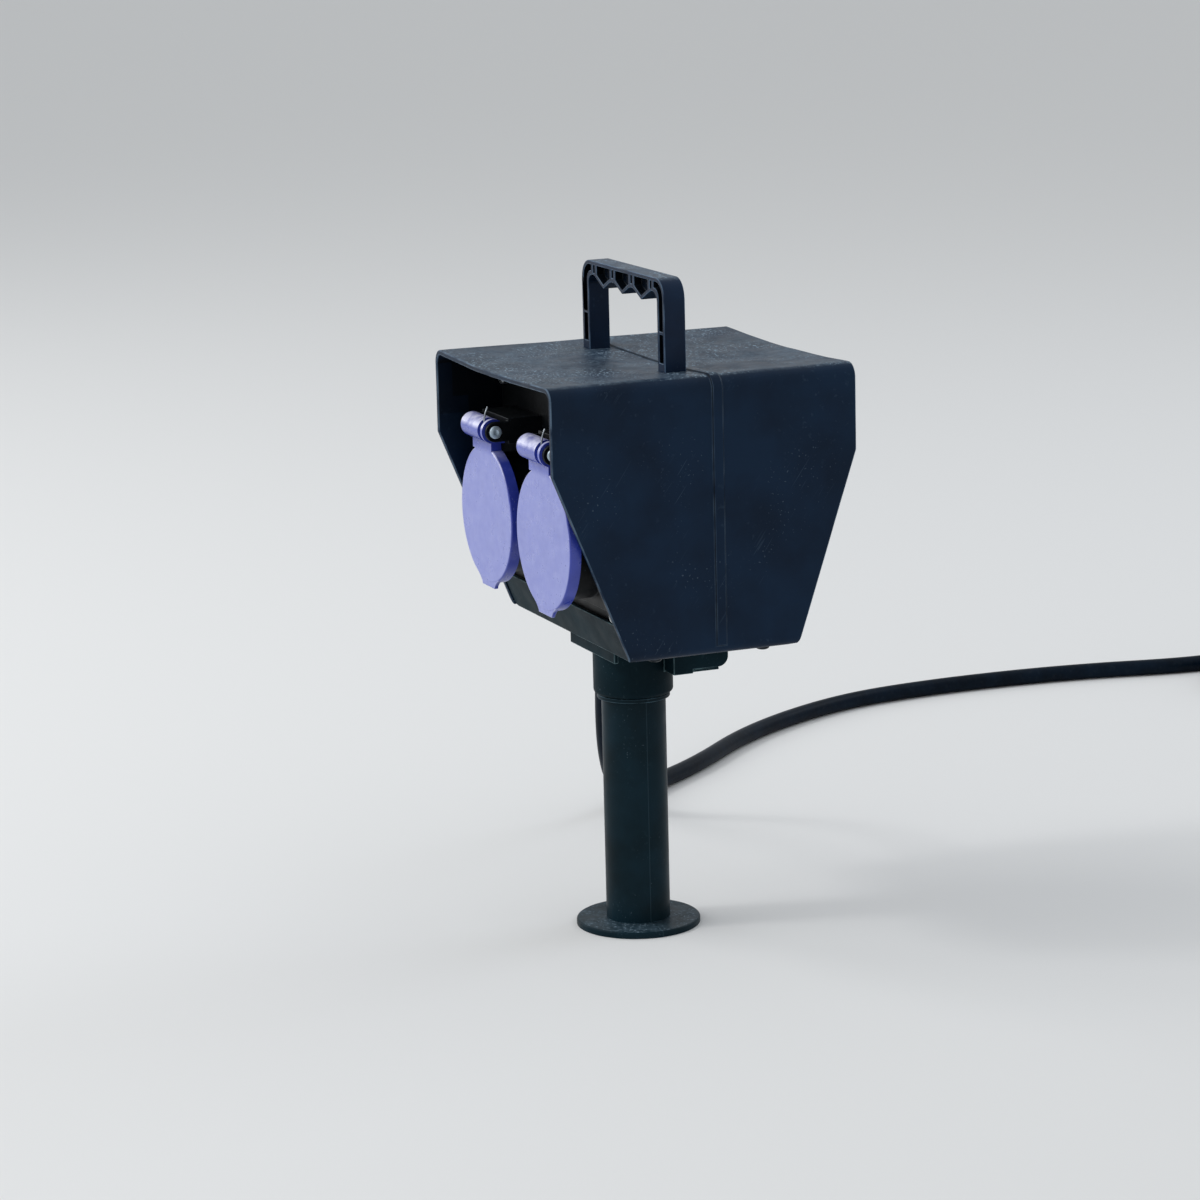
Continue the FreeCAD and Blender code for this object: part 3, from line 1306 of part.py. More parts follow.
def make_spike():
    """Ground flange with a stub in the post and a tapered cross spike below."""
    body = new_body("ground_spike")
    disc = new_sketch(body, "flange_circle", "XY_Plane")
    add_circle(disc, "0", "0", "flange_radius")
    pad(body, "flange", disc, "flange_wall")
    top = value("flange_wall")
    round_edges(body, "flange_edge", lambda edge: near(edge.CenterOfMass.z, top), "flange_round")
    stub = new_sketch(body, "stub_circle", "XY_Plane", "flange_wall / 2")
    add_circle(stub, "0", "0", "post_radius - post_wall - stub_play")
    pad(body, "stub", stub, "flange_wall / 2 + stub_height")
    for plane in ("XZ_Plane", "YZ_Plane"):
        fin = new_sketch(body, f"fin_{plane[:2].lower()}", plane)
        add_outline(fin, [
            ("-spike_half_width", "flange_wall / 2"), ("spike_half_width", "flange_wall / 2"),
            ("spike_half_width", "0"), ("spike_tip", "-spike_length"),
            ("-spike_tip", "-spike_length"), ("-spike_half_width", "0"),
        ])
        pad(body, f"fin_{plane[:2].lower()}_plate", fin, "spike_wall", both_ways=True)
    return body


# Cable gland and strain relief

def turned_along_cable(name, steps):
    """A turned piece about the cable's axis, from inner radii and outer steps along -X."""
    body = new_body(name)
    profile = new_sketch(body, "profile", "XZ_Plane")
    add_outline(profile, steps)
    revolve(body, "turned", profile, axis="H_Axis")
    tie(body, "Placement.Base.y", "cable_side")
    tie(body, "Placement.Base.z", "cable_height")
    return body


GLAND_END = "(box_half_width + gland_flange)"
NUT_END = f"({GLAND_END} + nut_length)"
RELIEF_END = f"({NUT_END} + relief_length)"
SHEATH = "(cable_diameter / 2)"


def make_gland():
    bore = f"{SHEATH} + insert_play"
    return turned_along_cable("cable_gland", [
        ("-gland_inner", bore), ("-gland_inner", "gland_thread"), ("-box_half_width", "gland_thread"),
        ("-box_half_width", "gland_radius"), (f"-{GLAND_END}", "gland_radius"), (f"-{GLAND_END}", bore),
    ])


def make_nut():
    bore = f"{SHEATH} + insert_play"
    return turned_along_cable("gland_nut", [
        (f"-{GLAND_END}", bore), (f"-{GLAND_END}", "nut_radius"),
        (f"-{GLAND_END} - nut_length / 2", "nut_radius"), (f"-{NUT_END}", "nut_end_radius"),
        (f"-{NUT_END}", bore),
    ])


def make_relief():
    """Tapered sleeve on the cable, with the cable's end that passes through the gland."""
    return turned_along_cable("strain_relief", [
        ("-gland_inner", "0"), ("-gland_inner", SHEATH), (f"-{NUT_END}", SHEATH),
        (f"-{NUT_END}", "relief_radius"), (f"-{RELIEF_END}", "relief_end_radius"),
        (f"-{RELIEF_END}", "0"),
    ])


# Supply cable

def cable_start():
    return place(f"-{RELIEF_END}", "cable_side", "cable_height")


CABLE_LOW = "(cable_diameter / 2 + touch_gap)"
COIL_CENTRE = FreeCAD.Vector(-262, 556, 0)


def cable_route():
    """Turning points of the free cable, from the strain relief to the start of the coil."""
    start = cable_start()
    ground = value(CABLE_LOW)
    coil_start = COIL_CENTRE + FreeCAD.Vector(-value("coil_radius"), -value("cable_diameter"), ground)
    falling = [(-87, 27.5, 136), (-110, 32, 129), (-130.5, 39.3, 112.5), (-146, 45.2, 89.5),
               (-158.5, 49.6, 64), (-169.5, 54.8, 40), (-181.5, 63.2, 20), (-197.5, 78.5, 8)]
    lying = [(-220, 107.5), (-246, 142.5), (-286.5, 184.5), (-317, 231), (-338, 280), (-344, 332),
             (-343, 388), (-336, 442)]
    points = [start] + [FreeCAD.Vector(*spot) for spot in falling]
    points += [FreeCAD.Vector(x, y, ground) for x, y in lying]
    return points + [coil_start - FreeCAD.Vector(0, value("coil_lead"), 0), coil_start]


def make_cable():
    """The free stretch of the supply cable."""
    radius = value("cable_diameter") / 2
    bar, radii, length = bent_bar(cable_route(), radius)
    print("cable radii", [round(number) for number in radii], "length", round(length, 1))
    print("cable volume ratio", round(bar.Volume / (math.pi * radius * radius * length), 5))
    feature = doc.addObject("Part::Feature", "supply_cable")
    feature.Shape = bar
    feature.Label = "supply_cable"
    return feature


def ease(share):
    """A smooth step from 0 to 1."""
    share = min(max(share, 0), 1)
    return share * share * (3 - 2 * share)


def coil_spot(turn, grow_down, grow_up):
    """A point of the coil's middle line after so many turns, spiral in below and out above."""
    outer = value("coil_radius")
    pitch = value("cable_diameter + coil_turn_gap")
    layer = value("cable_diameter + coil_layer_gap")
    turns = value("coil_turns")
    low = value(CABLE_LOW)
    radius = outer - pitch * min(turn, turns) + pitch * max(turn - turns - 0.5, 0)
    climb = min(max((turn - turns) * 2, 0), 1)
    radius -= grow_down * math.sin(math.pi * climb)
    height = low + layer * ease(climb) + grow_up * ease((turn - turns - 2) * 4)
    angle = math.pi - 2 * math.pi * turn
    return FreeCAD.Vector(radius * math.cos(angle), radius * math.sin(angle), height)


PLUG_HEIGHT = "(plug_radius + touch_gap)"


def coil_wire():
    """The coil's middle line: straight end, spiral in, climb, spiral out, straight end at the plug."""
    rise = value(f"{PLUG_HEIGHT} - ({CABLE_LOW} + cable_diameter + coil_layer_gap)")
    dip = value("cable_diameter") / 6
    quarters = round(4 * (value("coil_turns") + 2.25))
    step = 0.001
    spots = []
    headings = []
    for i in range(quarters + 1):
        turn = i / 4
        spots.append(COIL_CENTRE + coil_spot(turn, dip, rise))
        slope = coil_spot(turn + step, dip, rise) - coil_spot(turn - step, dip, rise)
        headings.append(slope.normalize())
    headings[0] = FreeCAD.Vector(0, 1, 0)
    headings[-1] = FreeCAD.Vector(1, 0, 0)
    edges = [Part.makeLine(spots[0] - headings[0] * value("cable_diameter"), spots[0])]
    edges += wound_wire(spots, headings)
    edges.append(Part.makeLine(spots[-1], spots[-1] + headings[-1] * value("plug_lead")))
    return edges


def make_coil():
    """The put-away rest of the cable, wound in two layers beside the spike."""
    edges = coil_wire()
    radius = value("cable_diameter") / 2
    bar = round_bar(edges, FreeCAD.Vector(0, 1, 0), radius)
    length = sum(edge.Length for edge in edges)
    print("coil length", round(length, 1), "gap", round(least_gap(edges, 2 * radius), 3))
    print("coil volume ratio", round(bar.Volume / (math.pi * radius * radius * length), 5))
    feature = doc.addObject("Part::Feature", "cable_coil")
    feature.Shape = bar
    feature.Label = "cable_coil"
    return feature


def make_plug():
    """Round plug with a neck for the cable, lying at the coil's end, and its two pins."""
    spot = coil_wire()[-1].Vertexes[1].Point
    body = new_body("plug_body")
    profile = new_sketch(body, "plug_profile", "XZ_Plane")
    add_outline(profile, [
        ("0", "0"), ("0", "plug_neck_radius"), ("plug_neck", "plug_neck_radius + plug_neck_flare"),
        ("plug_neck + plug_shoulder", "0.8 * plug_radius", "plug_shoulder / 2"),
        ("plug_length / 2", "plug_radius", "plug_shoulder"),
        ("plug_length", "plug_radius"), ("plug_length", "0"),
    ])
    revolve(body, "plug_turned", profile, axis="H_Axis")
    body.Placement = FreeCAD.Placement(spot, FreeCAD.Rotation())
    pins = []
    for word, side in (("left", -1), ("right", 1)):
        pin = drum(f"plug_pin_{word}", "plug_pin_radius", "plug_pin_length", ("0", "0", "0"), ALONG_X)
        pin.setExpression("Placement.Base.x", in_sheet(f"{spot.x} + plug_length"))
        pin.setExpression("Placement.Base.y", in_sheet(f"{spot.y} + {side} * pin_spacing / 2"))
        pin.setExpression("Placement.Base.z", in_sheet(f"{spot.z}"))
        pins.append(pin)
    return [body, joined("plug_pins", pins)]


# All pieces

def build_all():
    """Every node of the object, in one list."""
    nodes = [make_hood(), make_handle(), make_tray(), make_cover()]
    ends = (("front", "-1"), ("rear", "1"))
    sides = (("left", "-1"), ("right", "1"))
    makers = (("housing", make_housing), ("insert", make_insert), ("contacts", make_contacts),
              ("earth_clip", make_clip), ("lid", make_lid), ("seal", make_seal),
              ("hinge_pin", make_pin), ("spring", make_spring))
    for end_word, end in ends:
        nodes.append(make_panel(f"{end_word}_panel", end))
        for side_word, side in sides:
            for piece, maker in makers:
                nodes.append(seat(maker(f"{end_word}_{side_word}_{piece}"), side, end))
    nodes += make_screws()
    nodes.append(make_terminal_block())
    nodes += make_wires()
    nodes += [make_post(), make_spike(), make_gland(), make_nut(), make_relief(), make_cable(), make_coil()]
    nodes += make_plug()
    return nodes


def check(nodes):
    """Stop where an object failed or a piece has no sound solid."""
    faults = []
    for thing in doc.Objects:
        if "Invalid" in thing.State or "Error" in thing.State:
            faults.append(f"{thing.Name}: {thing.State}")
    for node in nodes:
        shape = node.Shape
        if shape.isNull() or not shape.isValid() or not shape.Solids:
            faults.append(f"{node.Label}: no sound solid")
    if faults:
        raise RuntimeError("; ".join(faults))


nodes = build_all()
doc.recompute()
check(nodes)
os.makedirs("parts", exist_ok=True)
for node in nodes:
    node.Shape.exportStep(f"parts/{node.Label}.step")
print(len(nodes), "nodes written")
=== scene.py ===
# %% [markdown]
# # Garden socket spike
# Four lidded outlets sit under a slanted hood, on a round post with a spike for the soil.
# The solids come ready made from a CAD model and this lesson dresses them: soft edges, real
# screws, a wound cable, and materials that look like the moulded plastic, steel and rubber.
# Everything is in metres, with the origin on the post's axis at ground level.

# %% Load the solids and note their size
import bpy
import json
import math
from mathutils import Matrix, Vector, noise
from mathutils.bvhtree import BVHTree

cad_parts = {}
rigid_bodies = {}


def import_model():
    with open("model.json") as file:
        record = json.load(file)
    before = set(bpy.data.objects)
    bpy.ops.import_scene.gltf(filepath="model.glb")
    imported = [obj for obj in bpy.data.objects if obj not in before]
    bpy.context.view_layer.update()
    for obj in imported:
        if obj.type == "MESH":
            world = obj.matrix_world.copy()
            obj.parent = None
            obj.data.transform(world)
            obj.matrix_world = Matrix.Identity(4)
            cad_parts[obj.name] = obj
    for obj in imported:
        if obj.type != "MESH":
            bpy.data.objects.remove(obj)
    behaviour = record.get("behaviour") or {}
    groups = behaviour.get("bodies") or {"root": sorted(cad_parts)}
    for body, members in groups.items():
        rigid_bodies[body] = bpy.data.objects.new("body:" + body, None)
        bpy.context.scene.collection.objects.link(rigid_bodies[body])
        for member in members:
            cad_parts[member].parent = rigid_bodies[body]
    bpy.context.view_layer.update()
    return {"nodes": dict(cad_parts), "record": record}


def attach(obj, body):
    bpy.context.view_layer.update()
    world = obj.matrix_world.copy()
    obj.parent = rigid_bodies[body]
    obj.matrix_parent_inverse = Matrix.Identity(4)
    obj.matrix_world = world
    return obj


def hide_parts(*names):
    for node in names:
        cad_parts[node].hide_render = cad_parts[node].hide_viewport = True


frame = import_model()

MM = 0.001


def new_object(name, data):
    """An object that shows a mesh, curve, camera or lamp in the scene."""
    made = bpy.data.objects.new(name, data)
    bpy.context.scene.collection.objects.link(made)
    return made


# %% [markdown]
# ## Camera
# A long lens from about 1.8 m away looks slightly down on the right front corner, so the front
# outlets show beside the large right wall. A camera can be aimed by hand or by a Track To
# constraint, but a photographer also tilts it a little to one side, and that has no place there.
# So its three directions are worked out from yaw, pitch and roll.

# %% Camera
CAMERA_SPOT = Vector((1606.0, -675.2, 529.4)) * MM
YAW = math.radians(67.48)
PITCH = math.radians(12.05)
ROLL = math.radians(-1.37)
FRAME_PIXELS = 1200
FOCAL_PIXELS = 3784.5
MIDDLE_PIXEL = 613
SENSOR_WIDTH = 36
forward = Vector((-math.sin(YAW) * math.cos(PITCH), math.cos(YAW) * math.cos(PITCH), -math.sin(PITCH)))
level = Vector((math.cos(YAW), math.sin(YAW), 0))
upright = level.cross(forward)
across = level * math.cos(ROLL) + upright * math.sin(ROLL)
up = upright * math.cos(ROLL) - level * math.sin(ROLL)
lens = bpy.data.cameras.new("camera")
lens.sensor_width = SENSOR_WIDTH
lens.lens = FOCAL_PIXELS / FRAME_PIXELS * lens.sensor_width
lens.shift_x = (FRAME_PIXELS / 2 - MIDDLE_PIXEL) / FRAME_PIXELS
camera = new_object("camera", lens)
camera.matrix_world = Matrix((
    (across.x, up.x, -forward.x, CAMERA_SPOT.x), (across.y, up.y, -forward.y, CAMERA_SPOT.y),
    (across.z, up.z, -forward.z, CAMERA_SPOT.z), (0, 0, 0, 1)))
bpy.context.scene.camera = camera
print("lens in mm:", round(lens.lens, 1))

# %% [markdown]
# ## Supply cable
# A rubber cable of 9.2 mm leaves the terminal box, bends down behind the post, meets the ground
# and runs off to the right. What the photograph doesn't show is wound into two layers beside the
# spike, out of the camera's view, and ends in a plug. A cable could be simulated or laid as a
# row of arcs. One smooth spline is simpler and has no kinks: its points were chosen where
# the cable is free, and a loop works out the coil's turns. The points carry the cable's radius,
# so that the curve's box is as large as the cable.

# %% The cable's line
CABLE_DIAMETER = 9.2
GROUND_GAP = 0.1
GROUND = CABLE_DIAMETER / 2 + GROUND_GAP
CABLE_EXIT = (-64, 27.5, 136)
FALLING = [
    (-87, 27.5, 136), (-110, 32, 129), (-130.5, 39.3, 112.5), (-146, 45.2, 89.5),
    (-158.5, 49.6, 64), (-169.5, 54.8, 40), (-181.5, 63.2, 20), (-197.5, 78.5, 8),
]
LYING = [
    (-220, 107.5), (-246, 142.5), (-286.5, 184.5), (-317, 231), (-338, 280), (-344, 332),
    (-343, 388), (-336, 442), (-322, 496.8),
]
COIL_MIDDLE = (-262, 556)
COIL_RADIUS = 60
COIL_TURNS = 4.25
INWARD_END = 2
OUTWARD_START = 2.5
PLUG_RISE_START = 4
TURN_STEP = 10
LAYER_RISE = 9.8
COIL_DIP = 1.533
POINTS_PER_TURN = 24
# The spline cuts the corners between its points, so a ring of points comes out smaller by this
SPLINE_SHRINK = 0.75 + 0.25 * math.cos(2 * math.pi / POINTS_PER_TURN)
PLUG_RISE = 4.1
PLUG_LEAD = 27.6
PLUG_INSET = 2.5
PLUG_HEIGHT = GROUND + LAYER_RISE + PLUG_RISE
PLUG_START = (COIL_MIDDLE[0] + PLUG_LEAD, COIL_MIDDLE[1] + COIL_RADIUS - PLUG_INSET, PLUG_HEIGHT)


def eased(share):
    """A smooth step from 0 to 1."""
    share = min(max(share, 0), 1)
    return share * share * (3 - 2 * share)


def coil_point(turn):
    """A point of the coil: two turns inward, a climb, then outward on top to the plug."""
    climb = min(max((turn - INWARD_END) / (OUTWARD_START - INWARD_END), 0), 1)
    radius = COIL_RADIUS - TURN_STEP * min(turn, INWARD_END) + TURN_STEP * max(turn - OUTWARD_START, 0)
    radius -= COIL_DIP * math.sin(math.pi * climb)
    radius /= SPLINE_SHRINK
    lift = eased((turn - PLUG_RISE_START) / (COIL_TURNS - PLUG_RISE_START))
    height = GROUND + LAYER_RISE * eased(climb) + PLUG_RISE * lift
    angle = math.pi - 2 * math.pi * turn
    return (COIL_MIDDLE[0] + radius * math.cos(angle), COIL_MIDDLE[1] + radius * math.sin(angle), height)


line = [CABLE_EXIT, *FALLING, *[(x, y, GROUND) for x, y in LYING]]
line.append((COIL_MIDDLE[0] - COIL_RADIUS, COIL_MIDDLE[1] - CABLE_DIAMETER, GROUND))
steps = round(COIL_TURNS * POINTS_PER_TURN)
line += [coil_point((i + 0.5) / POINTS_PER_TURN) for i in range(steps)]
line.append(PLUG_START)
print("points of the line:", len(line))

# %% [markdown]
# The curve gets a round section and becomes the cable. It is measured on a copy that has no
# section, whose mesh is the bare line.

# %% The cable and its length
curve = bpy.data.curves.new("supply_cable_line", "CURVE")
curve.dimensions = "3D"
spline = curve.splines.new("NURBS")
spline.points.add(len(line) - 1)
for point, spot in zip(spline.points, line):
    point.co = (*[v * MM for v in spot], 1)
    point.radius = CABLE_DIAMETER / 2 * MM
spline.order_u = 3
spline.use_endpoint_u = True
spline.resolution_u = 8
curve.bevel_depth = 1
curve.bevel_resolution = 8
curve.use_fill_caps = True
cable = new_object("rubber_cable", curve)
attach(cable, "unit")
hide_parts("supply_cable", "cable_coil")
bare = curve.copy()
bare.bevel_depth = 0
probe = new_object("line_probe", bare)
bpy.context.view_layer.update()
centre_line = bpy.data.meshes.new_from_object(probe)
spots = [vertex.co for vertex in centre_line.vertices]
bpy.data.objects.remove(probe)

# %% [markdown]
# ## Helpers for colours and nodes
# A material is a small graph of nodes. Colours are chosen as hex values, as in any paint
# program, and turned to linear light here. Pattern sizes are given in millimetres. The graph
# could be drawn in the shader editor, but in code one small function for all kinds of node is
# enough. Most finishes are coats of paint: a base colour, and others where a pattern lets them through.

# %% Colour and node helpers
def linear(hex_colour):
    """A hex colour of sRGB as linear red, green, blue and alpha."""
    parts = [int(hex_colour[i:i + 2], 16) / 255 for i in (1, 3, 5)]
    return (*[v / 12.92 if v <= 0.04045 else ((v + 0.055) / 1.055) ** 2.4 for v in parts], 1)


def add_node(tree, kind, inputs=(), out=0, **settings):
    """Add one node, set its properties, fill or link its sockets, and give back one output."""
    made = tree.nodes.new("ShaderNode" + kind)
    for name, setting in settings.items():
        setattr(made, name, setting)
    for socket, source in dict(inputs).items():
        if isinstance(source, bpy.types.NodeSocket):
            tree.links.new(source, made.inputs[socket])
        else:
            made.inputs[socket].default_value = source
    return made.outputs[out]


def new_surface(name, roughness, metallic=0.0, gloss=0.5):
    """A material with its shader, and the place of each point on the piece."""
    material = bpy.data.materials.new(name)
    material.use_nodes = True
    tree = material.node_tree
    shader = tree.nodes["Principled BSDF"]
    shader.inputs["Roughness"].default_value = roughness
    shader.inputs["Metallic"].default_value = metallic
    shader.inputs["Specular IOR Level"].default_value = gloss
    return material, tree, shader, add_node(tree, "TexCoord", out="Object")


def ramp(tree, source, start, end, low=0.0, high=1.0):
    """A value that goes from low to high while the source goes from start to end."""
    inputs = {"Value": source, "From Min": start, "From Max": end, "To Min": low, "To Max": high}
    return add_node(tree, "MapRange", inputs)


def mist(tree, spot, size_mm, detail=3.0):
    """Plain noise whose clouds have a real size."""
    return add_node(tree, "TexNoise", {"Vector": spot, "Scale": 1 / (size_mm * MM), "Detail": detail})


def speckle(tree, spot, size_mm, low, high, detail=3.0):
    """Noise as a pattern: 0 below one level, 1 above another."""
    return ramp(tree, mist(tree, spot, size_mm, detail), low, high)


def overlap(tree, *shares):
    """Where several patterns meet: the product of their shares."""
    total = shares[0]
    for share in shares[1:]:
        total = add_node(tree, "Math", {0: total, 1: share}, operation="MULTIPLY")
    return total


def layers(tree, base, *coats):
    """A base colour with coats over it, each a share and a colour."""
    colour = linear(base)
    for share, tint in coats:
        colour = add_node(tree, "Mix", {0: share, 6: colour, 7: linear(tint)}, out=2, data_type="RGBA")
    return colour


def raised(tree, shader, height, depth_mm, strength=0.6, below=None):
    """Let a pattern stand out of the surface by a real depth."""
    inputs = {"Height": height, "Distance": depth_mm * MM, "Strength": strength}
    if below is not None:
        inputs["Normal"] = below
    bump = add_node(tree, "Bump", inputs)
    tree.links.new(bump, shader.inputs["Normal"])
    return bump

# %% [markdown]
# ## Moulded plastic
# The hood, handle, post and lids are injection-moulded ABS. Plastic leaves the mould with a soft
# sheen that varies over a few centimetres, a fine grain and paler rubbed edges, whose paler paint
# is also a painted edge highlight. Outdoors a film of pale dust lies on whatever looks up, laid on
# thick enough to be a painted sky sheen too. Hollows get painted shade in deep black, and the lids
# get painted light on their outward faces and painted highlights on barrels and rims. A photograph
# could be wrapped round the pieces, but patterns in space fit every piece without unwrapping it.
# All of them are in one recipe with different colours, and what only one piece has, such as a
# seam, comes in as a pattern of its own.

# %% Moulded ABS
# Pale dust, which on faces that look up also stands for a painted sheen of the sky
DUST_AND_SHEEN = "#8ea4b4"
# Painted shade: the near black that is laid over walled-in faces
PAINTED_SHADE_BLACK = "#010203"
# Painted highlight: the near white laid on the lids' barrels and rims
PAINTED_HIGHLIGHT = "#dcdcf5"
# Above this height the lids' necks get less of the painted light, with a soft step
NECK_LOW = 230
NECK_FADE = 3
SMOOTHER = 0.05
ROUGHER = 0.07


def moulded_plastic(name, deep, pale, worn_and_highlight, roughness, gloss=0.2, edge_wear_and_highlight=0.5, dust_and_sheen=0.0, cloud_mm=28,
                    strokes=None, lit_face_tint=None, seam=None):
    """Moulded ABS: clouded colour and sheen, grain, rubbed edges with painted highlight, scratches, dust with
    painted sky sheen on top, painted light on lids, painted shade in hollows.
    """
    material, tree, shader, spot = new_surface(name, roughness, gloss=gloss)
    clouds = speckle(tree, spot, cloud_mm, 0.35, 0.65)
    edge = add_node(tree, "Attribute", out="Fac", attribute_name="edge")
    # Bevel faces painted paler: rubbed wear, and a painted highlight along the edges
    rubbed_and_lit_edges = overlap(tree, edge, speckle(tree, spot, 9, 0.3, 0.62), edge_wear_and_highlight)
    scuffs = overlap(tree, speckle(tree, spot, 3.2, 0.62, 0.74, 8), speckle(tree, spot, 40, 0.48, 0.66), 0.14)
    specks = overlap(tree, speckle(tree, spot, 1.2, 0.7, 0.74, 1), speckle(tree, spot, 35, 0.5, 0.64), 0.14)
    coats = [(clouds, pale)]
    # Painted light on the lids: outward faces paler as lit, and painted highlights on barrels and rims
    if lit_face_tint:
        coats += [(painted_lit_face(tree, spot), lit_face_tint), (painted_rim_highlight(tree, spot), PAINTED_HIGHLIGHT)]
    coats += [(rubbed_and_lit_edges, worn_and_highlight), (scuffs, worn_and_highlight), (specks, worn_and_highlight if lit_face_tint else DUST_AND_SHEEN)]
    if strokes:
        coats.append((strokes(tree, spot), worn_and_highlight))
    sheen = speckle(tree, spot, cloud_mm / 3, 0.3, 0.7)
    rough = ramp(tree, sheen, 0.0, 1.0, roughness - SMOOTHER, roughness + ROUGHER)
    # Dust on faces that look up, laid on thick enough to be also a painted sky sheen on the top
    if dust_and_sheen:
        facing = add_node(tree, "SeparateXYZ", {0: add_node(tree, "TexCoord", out="Normal")}, out=2)
        looks_up = ramp(tree, facing, 0.86, 0.99)
        film = overlap(tree, speckle(tree, spot, 2.6, 0.25, 0.8, 8), speckle(tree, spot, 30, 0.2, 0.75), 0.55)
        grains = overlap(tree, speckle(tree, spot, 1.3, 0.6, 0.66, 1), speckle(tree, spot, 24, 0.36, 0.6))
        both = add_node(tree, "Math", {0: grains, 1: film}, operation="MAXIMUM")
        share = overlap(tree, looks_up, both, dust_and_sheen)
        coats.append((share, DUST_AND_SHEEN))
        rough = add_node(tree, "Math", {0: rough, 1: overlap(tree, share, 0.4)}, operation="ADD")
    if seam:
        coats.append((overlap(tree, seam(tree, spot), 0.12), worn_and_highlight))
    # Painted shade: faces walled in by their own piece are painted near black
    shut_in = add_node(tree, "Attribute", out="Fac", attribute_name="hollow")
    shade_in_hollows = ramp(tree, shut_in, 0.15, 0.42)
    coats.append((overlap(tree, shade_in_hollows, 0.9), PAINTED_SHADE_BLACK))
    tree.links.new(layers(tree, deep, *coats), shader.inputs["Base Color"])
    tree.links.new(rough, shader.inputs["Roughness"])
    below = raised(tree, shader, mist(tree, spot, 0.9), 0.05)
    if seam:
        raised(tree, shader, seam(tree, spot), 0.12, 1.0, below)
    return material


def parting_line(tree, spot):
    """The thin line that the mould's two halves leave on both sides of the post."""
    away = add_node(tree, "SeparateXYZ", {0: spot}, out=1)
    distance = add_node(tree, "Math", {0: away}, operation="ABSOLUTE")
    return ramp(tree, distance, 0.35 * MM, 0.1 * MM)


def streaks(tree, spot, turn, run, share):
    """Scratches: a fine noise stretched along one direction, in a few patches."""
    along = add_node(tree, "Mapping", {"Vector": spot, "Rotation": turn, "Scale": run}, vector_type="TEXTURE")
    return overlap(tree, speckle(tree, along, 0.8, 0.68, 0.72, 1), speckle(tree, spot, 34, 0.5, 0.64), share)


def slanted_strokes(tree, spot):
    """Scratches of the hood's walls, slanted as a hand pulls the spike out of the ground."""
    return streaks(tree, spot, (0.95, 0.0, 0.0), (1.0, 26.0, 1.0), 0.12)


def upright_strokes(tree, spot):
    """Scratches of the lids, upright from fingers and plugs."""
    return streaks(tree, spot, (0.0, 0.12, 0.0), (0.5, 1.0, 12.0), 0.3)


def painted_lit_face(tree, spot):
    """Painted light: the lids' outward faces below the neck, painted paler as lit, in uneven clouds."""
    facing = add_node(tree, "SeparateXYZ", {0: add_node(tree, "TexCoord", out="Normal")}, out=1)
    outward = add_node(tree, "Math", {0: facing}, operation="ABSOLUTE")
    outer = ramp(tree, outward, 0.7, 0.97)
    height = add_node(tree, "SeparateXYZ", {0: spot}, out=2)
    under_neck = ramp(tree, height, NECK_LOW * MM, (NECK_LOW - NECK_FADE) * MM, 0.35)
    mottled = ramp(tree, speckle(tree, spot, 4, 0.3, 0.7, 8), 0.0, 1.0, 0.74, 0.95)
    return overlap(tree, outer, under_neck, mottled)


def painted_rim_highlight(tree, spot):
    """Painted highlight on the upper front of barrels and rounded rims, where they face the light."""
    normal = add_node(tree, "TexCoord", out="Normal")
    facing = add_node(tree, "SeparateXYZ", {0: normal}, out=1)
    outward = add_node(tree, "Math", {0: facing}, operation="ABSOLUTE")
    upward = overlap(tree, add_node(tree, "SeparateXYZ", {0: normal}, out=2), 0.8)
    looks = add_node(tree, "Math", {0: outward, 1: 0.6, 2: upward}, operation="MULTIPLY_ADD")
    highlight_share = ramp(tree, looks, 0.66, 0.88)
    return overlap(tree, highlight_share, speckle(tree, spot, 5, 0.2, 0.6), 0.85)


# ABS coloured through with carbon black and a little blue: a navy sheen on broad faces
HOOD_PLASTIC = moulded_plastic(
    "moulded_abs_navy_black", "#05192d", "#0a2239", "#5b7084", 0.42, gloss=0.13, edge_wear_and_highlight=0.75, dust_and_sheen=0.85,
    strokes=slanted_strokes)
# The same plastic where hands have polished it: a little smoother, and paler at its ribs from wear and
# painted edge highlight
HANDLE_PLASTIC = moulded_plastic(
    "moulded_abs_handle", "#081a30", "#0e243d", "#5d7690", 0.38, gloss=0.16, edge_wear_and_highlight=0.7, dust_and_sheen=0.9)
# ABS with less blue in it: the tray and post look greener than the hood
TRAY_PLASTIC = moulded_plastic(
    "moulded_abs_green_black", "#091b22", "#10262e", "#5a7278", 0.5, gloss=0.05, edge_wear_and_highlight=0.9, dust_and_sheen=0.3)
# The post's plastic with the fine parting line of its mould
POST_PLASTIC = moulded_plastic(
    "moulded_abs_post", "#0a1a20", "#102630", "#4f6a78", 0.38, gloss=0.07, edge_wear_and_highlight=0.6, dust_and_sheen=0.5,
    seam=parting_line)
# Purple-blue ABS of the lids, a little waxy; where it looks outward it is painted paler as lit
LID_PLASTIC = moulded_plastic(
    "moulded_abs_violet_blue", "#2b3a9c", "#3847ae", "#d8dbf6", 0.3, gloss=0.6, edge_wear_and_highlight=0.6, cloud_mm=18,
    strokes=upright_strokes, lit_face_tint="#868dca")
# Black polyamide of the outlets, painted darker than the hood as the shade it sits in
OUTLET_PLASTIC = moulded_plastic(
    "moulded_polyamide_black", "#06080a", "#0b0e11", "#3a4046", 0.42, gloss=0.15, edge_wear_and_highlight=0.3)
# Grey polyamide of the six-way block inside the terminal box
TERMINAL_PLASTIC = moulded_plastic(
    "moulded_polyamide_grey", "#8f9294", "#a4a7a8", "#c4c6c6", 0.5, gloss=0.4, edge_wear_and_highlight=0.2)
print("materials so far:", len(bpy.data.materials))

